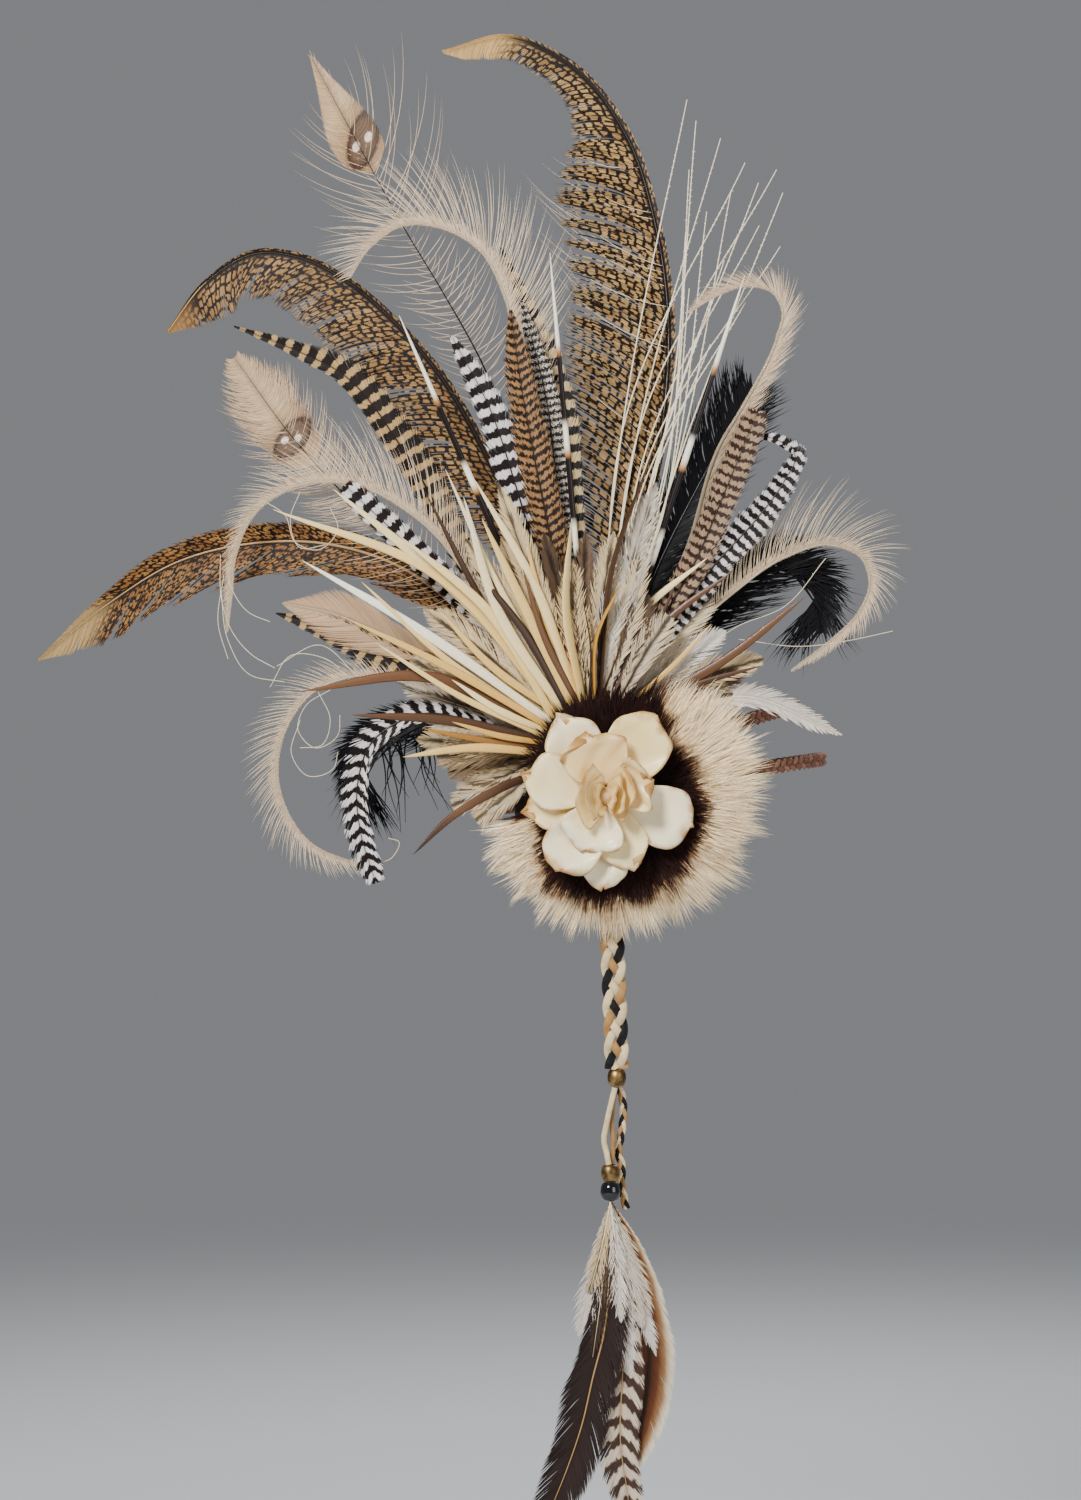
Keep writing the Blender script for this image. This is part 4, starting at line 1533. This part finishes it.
Petal = namedtuple("Petal", "name level heading reach half_width rise tone ruffle")
PETALS = [Petal(*row) for row in (
    ("petal_bottom", 0, 268, 1.00, 0.27, 0.006, 0.10, 0.6),
    ("petal_top_left", 0, 122, 0.99, 0.30, 0.006, 0.15, 0.8),
    ("petal_right", 0, 340, 0.98, 0.34, 0.006, 0.00, 0.6),
    ("petal_left_low", 1, 191, 0.88, 0.24, 0.009, 0.45, 0.8),
    ("petal_top_right", 1, 58, 1.00, 0.35, 0.009, 0.50, 0.5),
    ("petal_bottom_right", 1, 290, 0.83, 0.27, 0.009, 0.30, 0.7),
    ("petal_left_high", 2, 165, 0.90, 0.30, 0.012, 0.20, 0.9),
    ("petal_bottom_left", 2, 236, 0.96, 0.32, 0.012, 0.25, 0.7),
    ("petal_inner_top", 3, 106, 0.68, 0.38, 0.020, 0.80, 1.3),
    ("petal_inner_front", 3, 248, 0.62, 0.36, 0.020, 0.10, 0.8),
    ("petal_inner_right", 4, 20, 0.50, 0.30, 0.030, 0.75, 1.3),
)]
WAVES = ((3, 0.0016), (5, 0.0009), (8, 0.0004))
lot = np.random.default_rng(7)
for row in PETALS:
    reach, half = row.reach * PETAL_REACH, row.half_width * PETAL_REACH
    turn = math.radians(row.heading)
    s, u = np.meshgrid(np.linspace(0, 1, ALONG), np.linspace(-1, 1, ACROSS), indexing="ij")
    wide = 0.14 + s**0.85 * (1 - s) ** 0.30 / WIDEST * 0.86
    rim = np.maximum(np.abs(u) ** 3, s**6)
    wave = np.zeros_like(s)
    for count, size in WAVES:
        wave += size * np.sin(count * (2.2 * s + 1.3 * u) + lot.uniform(0, 6.28)) * (0.2 + rim)
    along = STEM_RADIUS + (reach - STEM_RADIUS) * s * (1 - 0.14 * u * u) + wave * 0.7 * s
    across = half * wide * u * (1 + 0.04 * np.sin(5 * s + lot.uniform(0, 6.28)))
    x = math.cos(turn) * along - math.sin(turn) * across
    z = math.sin(turn) * along + math.cos(turn) * across
    depth = FLOWER_FRONT - PETAL_THICK - row.level * PETAL_PITCH
    depth = depth - row.rise * (np.hypot(x, z) / PETAL_REACH) ** 2 + row.ruffle * wave
    depth -= 0.0032 * u * u * np.sin(math.pi * np.minimum(1, s * 1.1))
    depth += 0.0030 * np.maximum(0, s - 0.82) / 0.18
    grid = np.stack([FLOWER_X + x, depth, FLOWER_Z + z], axis=2)
    marks = {"along": s, "edge": np.maximum(np.abs(u), s**1.5),
             "mark": np.stack([across, along, np.zeros_like(s)], axis=2), "tone": np.full(s.shape, row.tone)}
    settle(patch_object(row.name + "_shell", grid, marks, PETAL_THICK), row.name)

# %% Bud: curled petals standing round a rolled heart
Curl = namedtuple("Curl", "middle half radius height flare tone")
CURLS = [Curl(*row) for row in (
    (178, 78, 0.0112, 0.0150, 0.0046, 0.45),
    (4, 74, 0.0106, 0.0165, 0.0040, 0.70),
    (172, 84, 0.0078, 0.0185, 0.0030, 0.30),
    (352, 80, 0.0070, 0.0195, 0.0026, 0.55),
    (186, 92, 0.0046, 0.0210, 0.0020, 0.40),
    (0, 92, 0.0038, 0.0220, 0.0014, 0.60),
)]
BUD_BASE = 0.0140
BUD_STRETCH = 1.35
CURL_THICK = 0.0009
buds = []
for number, row in enumerate(CURLS):
    s, u = np.meshgrid(np.linspace(0, 1, 22), np.linspace(-1, 1, 30), indexing="ij")
    turn = np.radians(row.middle + row.half * u * (1 - 0.25 * s))
    wave = 0.0010 * np.sin(4 * u + number) * s + 0.0005 * np.sin(9 * u + 2 * number) * s
    radius = row.radius * (0.55 + 0.45 * np.sin(math.pi / 2 * s)) + row.flare * s**3 + 0.0012 * (u + 1) * s + wave
    height = BUD_BASE + row.height * s * (1 - 0.22 * u * u) + wave
    grid = np.stack([FLOWER_X + radius * np.cos(turn), FLOWER_FRONT + 0.004 - height,
                     FLOWER_Z + BUD_STRETCH * radius * np.sin(turn)], axis=2)
    marks = {"along": 0.3 + 0.7 * s, "edge": np.maximum(np.abs(u) ** 2, s**1.5) * 0.95,
             "mark": np.stack([u * row.radius, s * row.height, np.zeros_like(s)], axis=2),
             "tone": np.full(s.shape, row.tone)}
    buds.append(patch_object(f"bud_curl_{number}", grid, marks, CURL_THICK))
STEM = [(0.0010, 0.0215), (0.0022, 0.0205), (0.0042, 0.0180), (0.0055, 0.0150), (0.0055, 0.0)]
stem = turned("bud_stem", STEM, (FLOWER_X, FLOWER_FRONT, FLOWER_Z), 24, tilt=True)
stem.data.materials.append(petal_skin)
settle(joined("flower_bud_shell", [*buds, stem]), "flower_bud")

# %% [markdown]
# ## Backing and root core
# The rosette is glued to a disc of felt. The quill roots are bound into a short core that hardly shows,
# but from the back and the side its wound thread is there.

# %% Felt backing
paint = Paint("felt", 0.95, sheen=0.5)
fuzz = noise(paint.where(), 700.0, 5.0)
paint.feed("Base Color", blend(fuzz, tint(84, 66, 58), tint(44, 34, 30)))
paint.bump(fuzz, 0.6, 0.0008)
BACKING = [(0.002, 0.0803), (0.060, 0.0803), (0.0612, 0.0801), (0.0618, 0.0797), (0.062, 0.0793),
           (0.0618, 0.0788), (0.0612, 0.0785), (0.060, 0.0783), (0.002, 0.0783)]
backing = turned("felt_backing", BACKING, (-0.0336, 0.0, -0.015), 96, tilt=True)
backing.data.materials.append(paint.material)
settle(backing, "backing")

# %% Root core: a body with thread wound round it
paint = Paint("bound_thread", 0.8, sheen=0.2)
paint.feed("Base Color", blend(noise(paint.where(), 160.0, 3.0), tint(116, 84, 56), tint(62, 42, 30)))
THREAD_RADIUS = 0.00045
THREAD_TURNS = 36
CORE_BACK, CORE_FRONT = 0.0806, 0.1138
turn = np.linspace(0, 2 * math.pi * THREAD_TURNS, THREAD_TURNS * 40)
helix = np.stack([HUB[0] + (CORE_RADIUS - THREAD_RADIUS) * np.cos(turn),
                  -np.linspace(CORE_BACK + THREAD_RADIUS, CORE_FRONT - THREAD_RADIUS, len(turn)),
                  HUB[1] + (CORE_RADIUS - THREAD_RADIUS) * np.sin(turn)], axis=1)
winding = blades("core_winding", [blade_line(helix, THREAD_RADIUS, 0.5)], paint.material, 6, 1.0)
CORE = [(0.001, CORE_FRONT), (0.0285, CORE_FRONT), (0.0292, CORE_FRONT - 0.0006), (0.0292, CORE_BACK + 0.0006),
        (0.0285, CORE_BACK), (0.001, CORE_BACK)]
inside = turned("core_body", CORE, (HUB[0], 0.0, HUB[1]), 64, tilt=True)
inside.data.materials.append(paint.material)
settle(joined("root_core_bound", [winding, inside]), "root_core")

# %% [markdown]
# ## The drop's feathers
# Three larger feathers hang below the beads, with small fluffy ones over their roots.

# %% Drop feathers
DROP_REACH = 0.212
DROP_TOP = (-0.0375, -0.2565)
DROP_FORM = ((0, 0.05), (0.10, 0.45), (0.25, 0.85), (0.40, 1.0), (0.65, 0.95), (0.88, 0.62), (1, 0.05))
DropFeather = namedtuple("DropFeather", "node slot y left right skin shaft path")
DROP_FEATHERS = (
    DropFeather("drop_feather_russet", "horn", -0.0855, 0.015, 0.011, drop_russet, shaft_dark,
                ((5, -12), (9, -28), (11, -43), (10, -57), (5, -76))),
    DropFeather("drop_feather_barred", "grizzly", -0.0881, 0.013, 0.014, BARRED["drop_barred"], shaft_tan,
                ((2, -20), (3.5, -44), (3, -70), (5, -84), (6, -97))),
    DropFeather("drop_feather_brown", "drop_brown", -0.0907, 0.0165, 0.0165, drop_brown, shaft_tan,
                ((-0.5, -12), (-0.5, -26), (-2, -38), (-5, -50), (-8, -63), (-12, -75), (-16, -85), (-22, -99))),
)
# A row holds the feather that the fluff lies on, its tip, half its width and its tone.
FLUFFS = (
    ("drop_feather_russet", (13, -44), 0.006, 0.98), ("drop_feather_russet", (11, -32), 0.006, 0.80),
    ("drop_feather_barred", (6, -50), 0.007, 0.98), ("drop_feather_barred", (9, -36), 0.007, 0.92),
    ("drop_feather_barred", (3, -40), 0.005, 0.05), ("drop_feather_brown", (-9, -38), 0.007, 0.96),
    ("drop_feather_brown", (-5, -44), 0.006, 0.05), ("drop_feather_brown", (-1, -30), 0.005, 0.15),
    ("drop_feather_brown", (3, -34), 0.006, 0.97), ("drop_feather_brown", (-6, -26), 0.005, 0.60),
)
FLUFF_COUNT = 60
DROP_COUNT = 200


def drop_line(path, y, count):
    """A line at depth y from the top of the drop through shares of its reach."""
    shares = np.array(path) / 100 * DROP_REACH
    flat = smooth_route([DROP_TOP, *(np.array(DROP_TOP) + shares)], count)
    return np.stack([flat[:, 0], np.full(count, y), flat[:, 1]], axis=1)


for number, row in enumerate(DROP_FEATHERS):
    lines = shaft_lines(drop_line(row.path, row.y, DROP_COUNT), (DROP_FORM, row.left), (DROP_FORM, row.right),
                        0.62, -0.20, 0.0008, 0.4)
    vane = feather(row.node + "_vane", lines, row.skin, row.shaft,
                   0.0006, 0.0008, 5.0, 7, 0.03, 0.06, 0.03, 0.08, 80 + number)
    lines = []
    for place, (node, tip, width, tone) in enumerate(f for f in FLUFFS if f[0] == row.node):
        middle = np.array(tip) / 2 + (0.1 / DROP_REACH, 0.0)
        line = drop_line((middle, tip), row.y - 0.0006 - 0.0003 * place, FLUFF_COUNT)
        lines += shaft_lines(line, (HACKLE, width), (HACKLE, width), 0.5, -0.3, 0.0005, tone)
    fluff = feather(row.node + "_fluff", lines, hackle, shaft_pale,
                    0.0006, 0.0006, 2.0, 6, 0.2, 0.35, 0.10, 0.06, 84 + number)
    settle(joined(row.node + "_feather", [vane, fluff]), row.node)
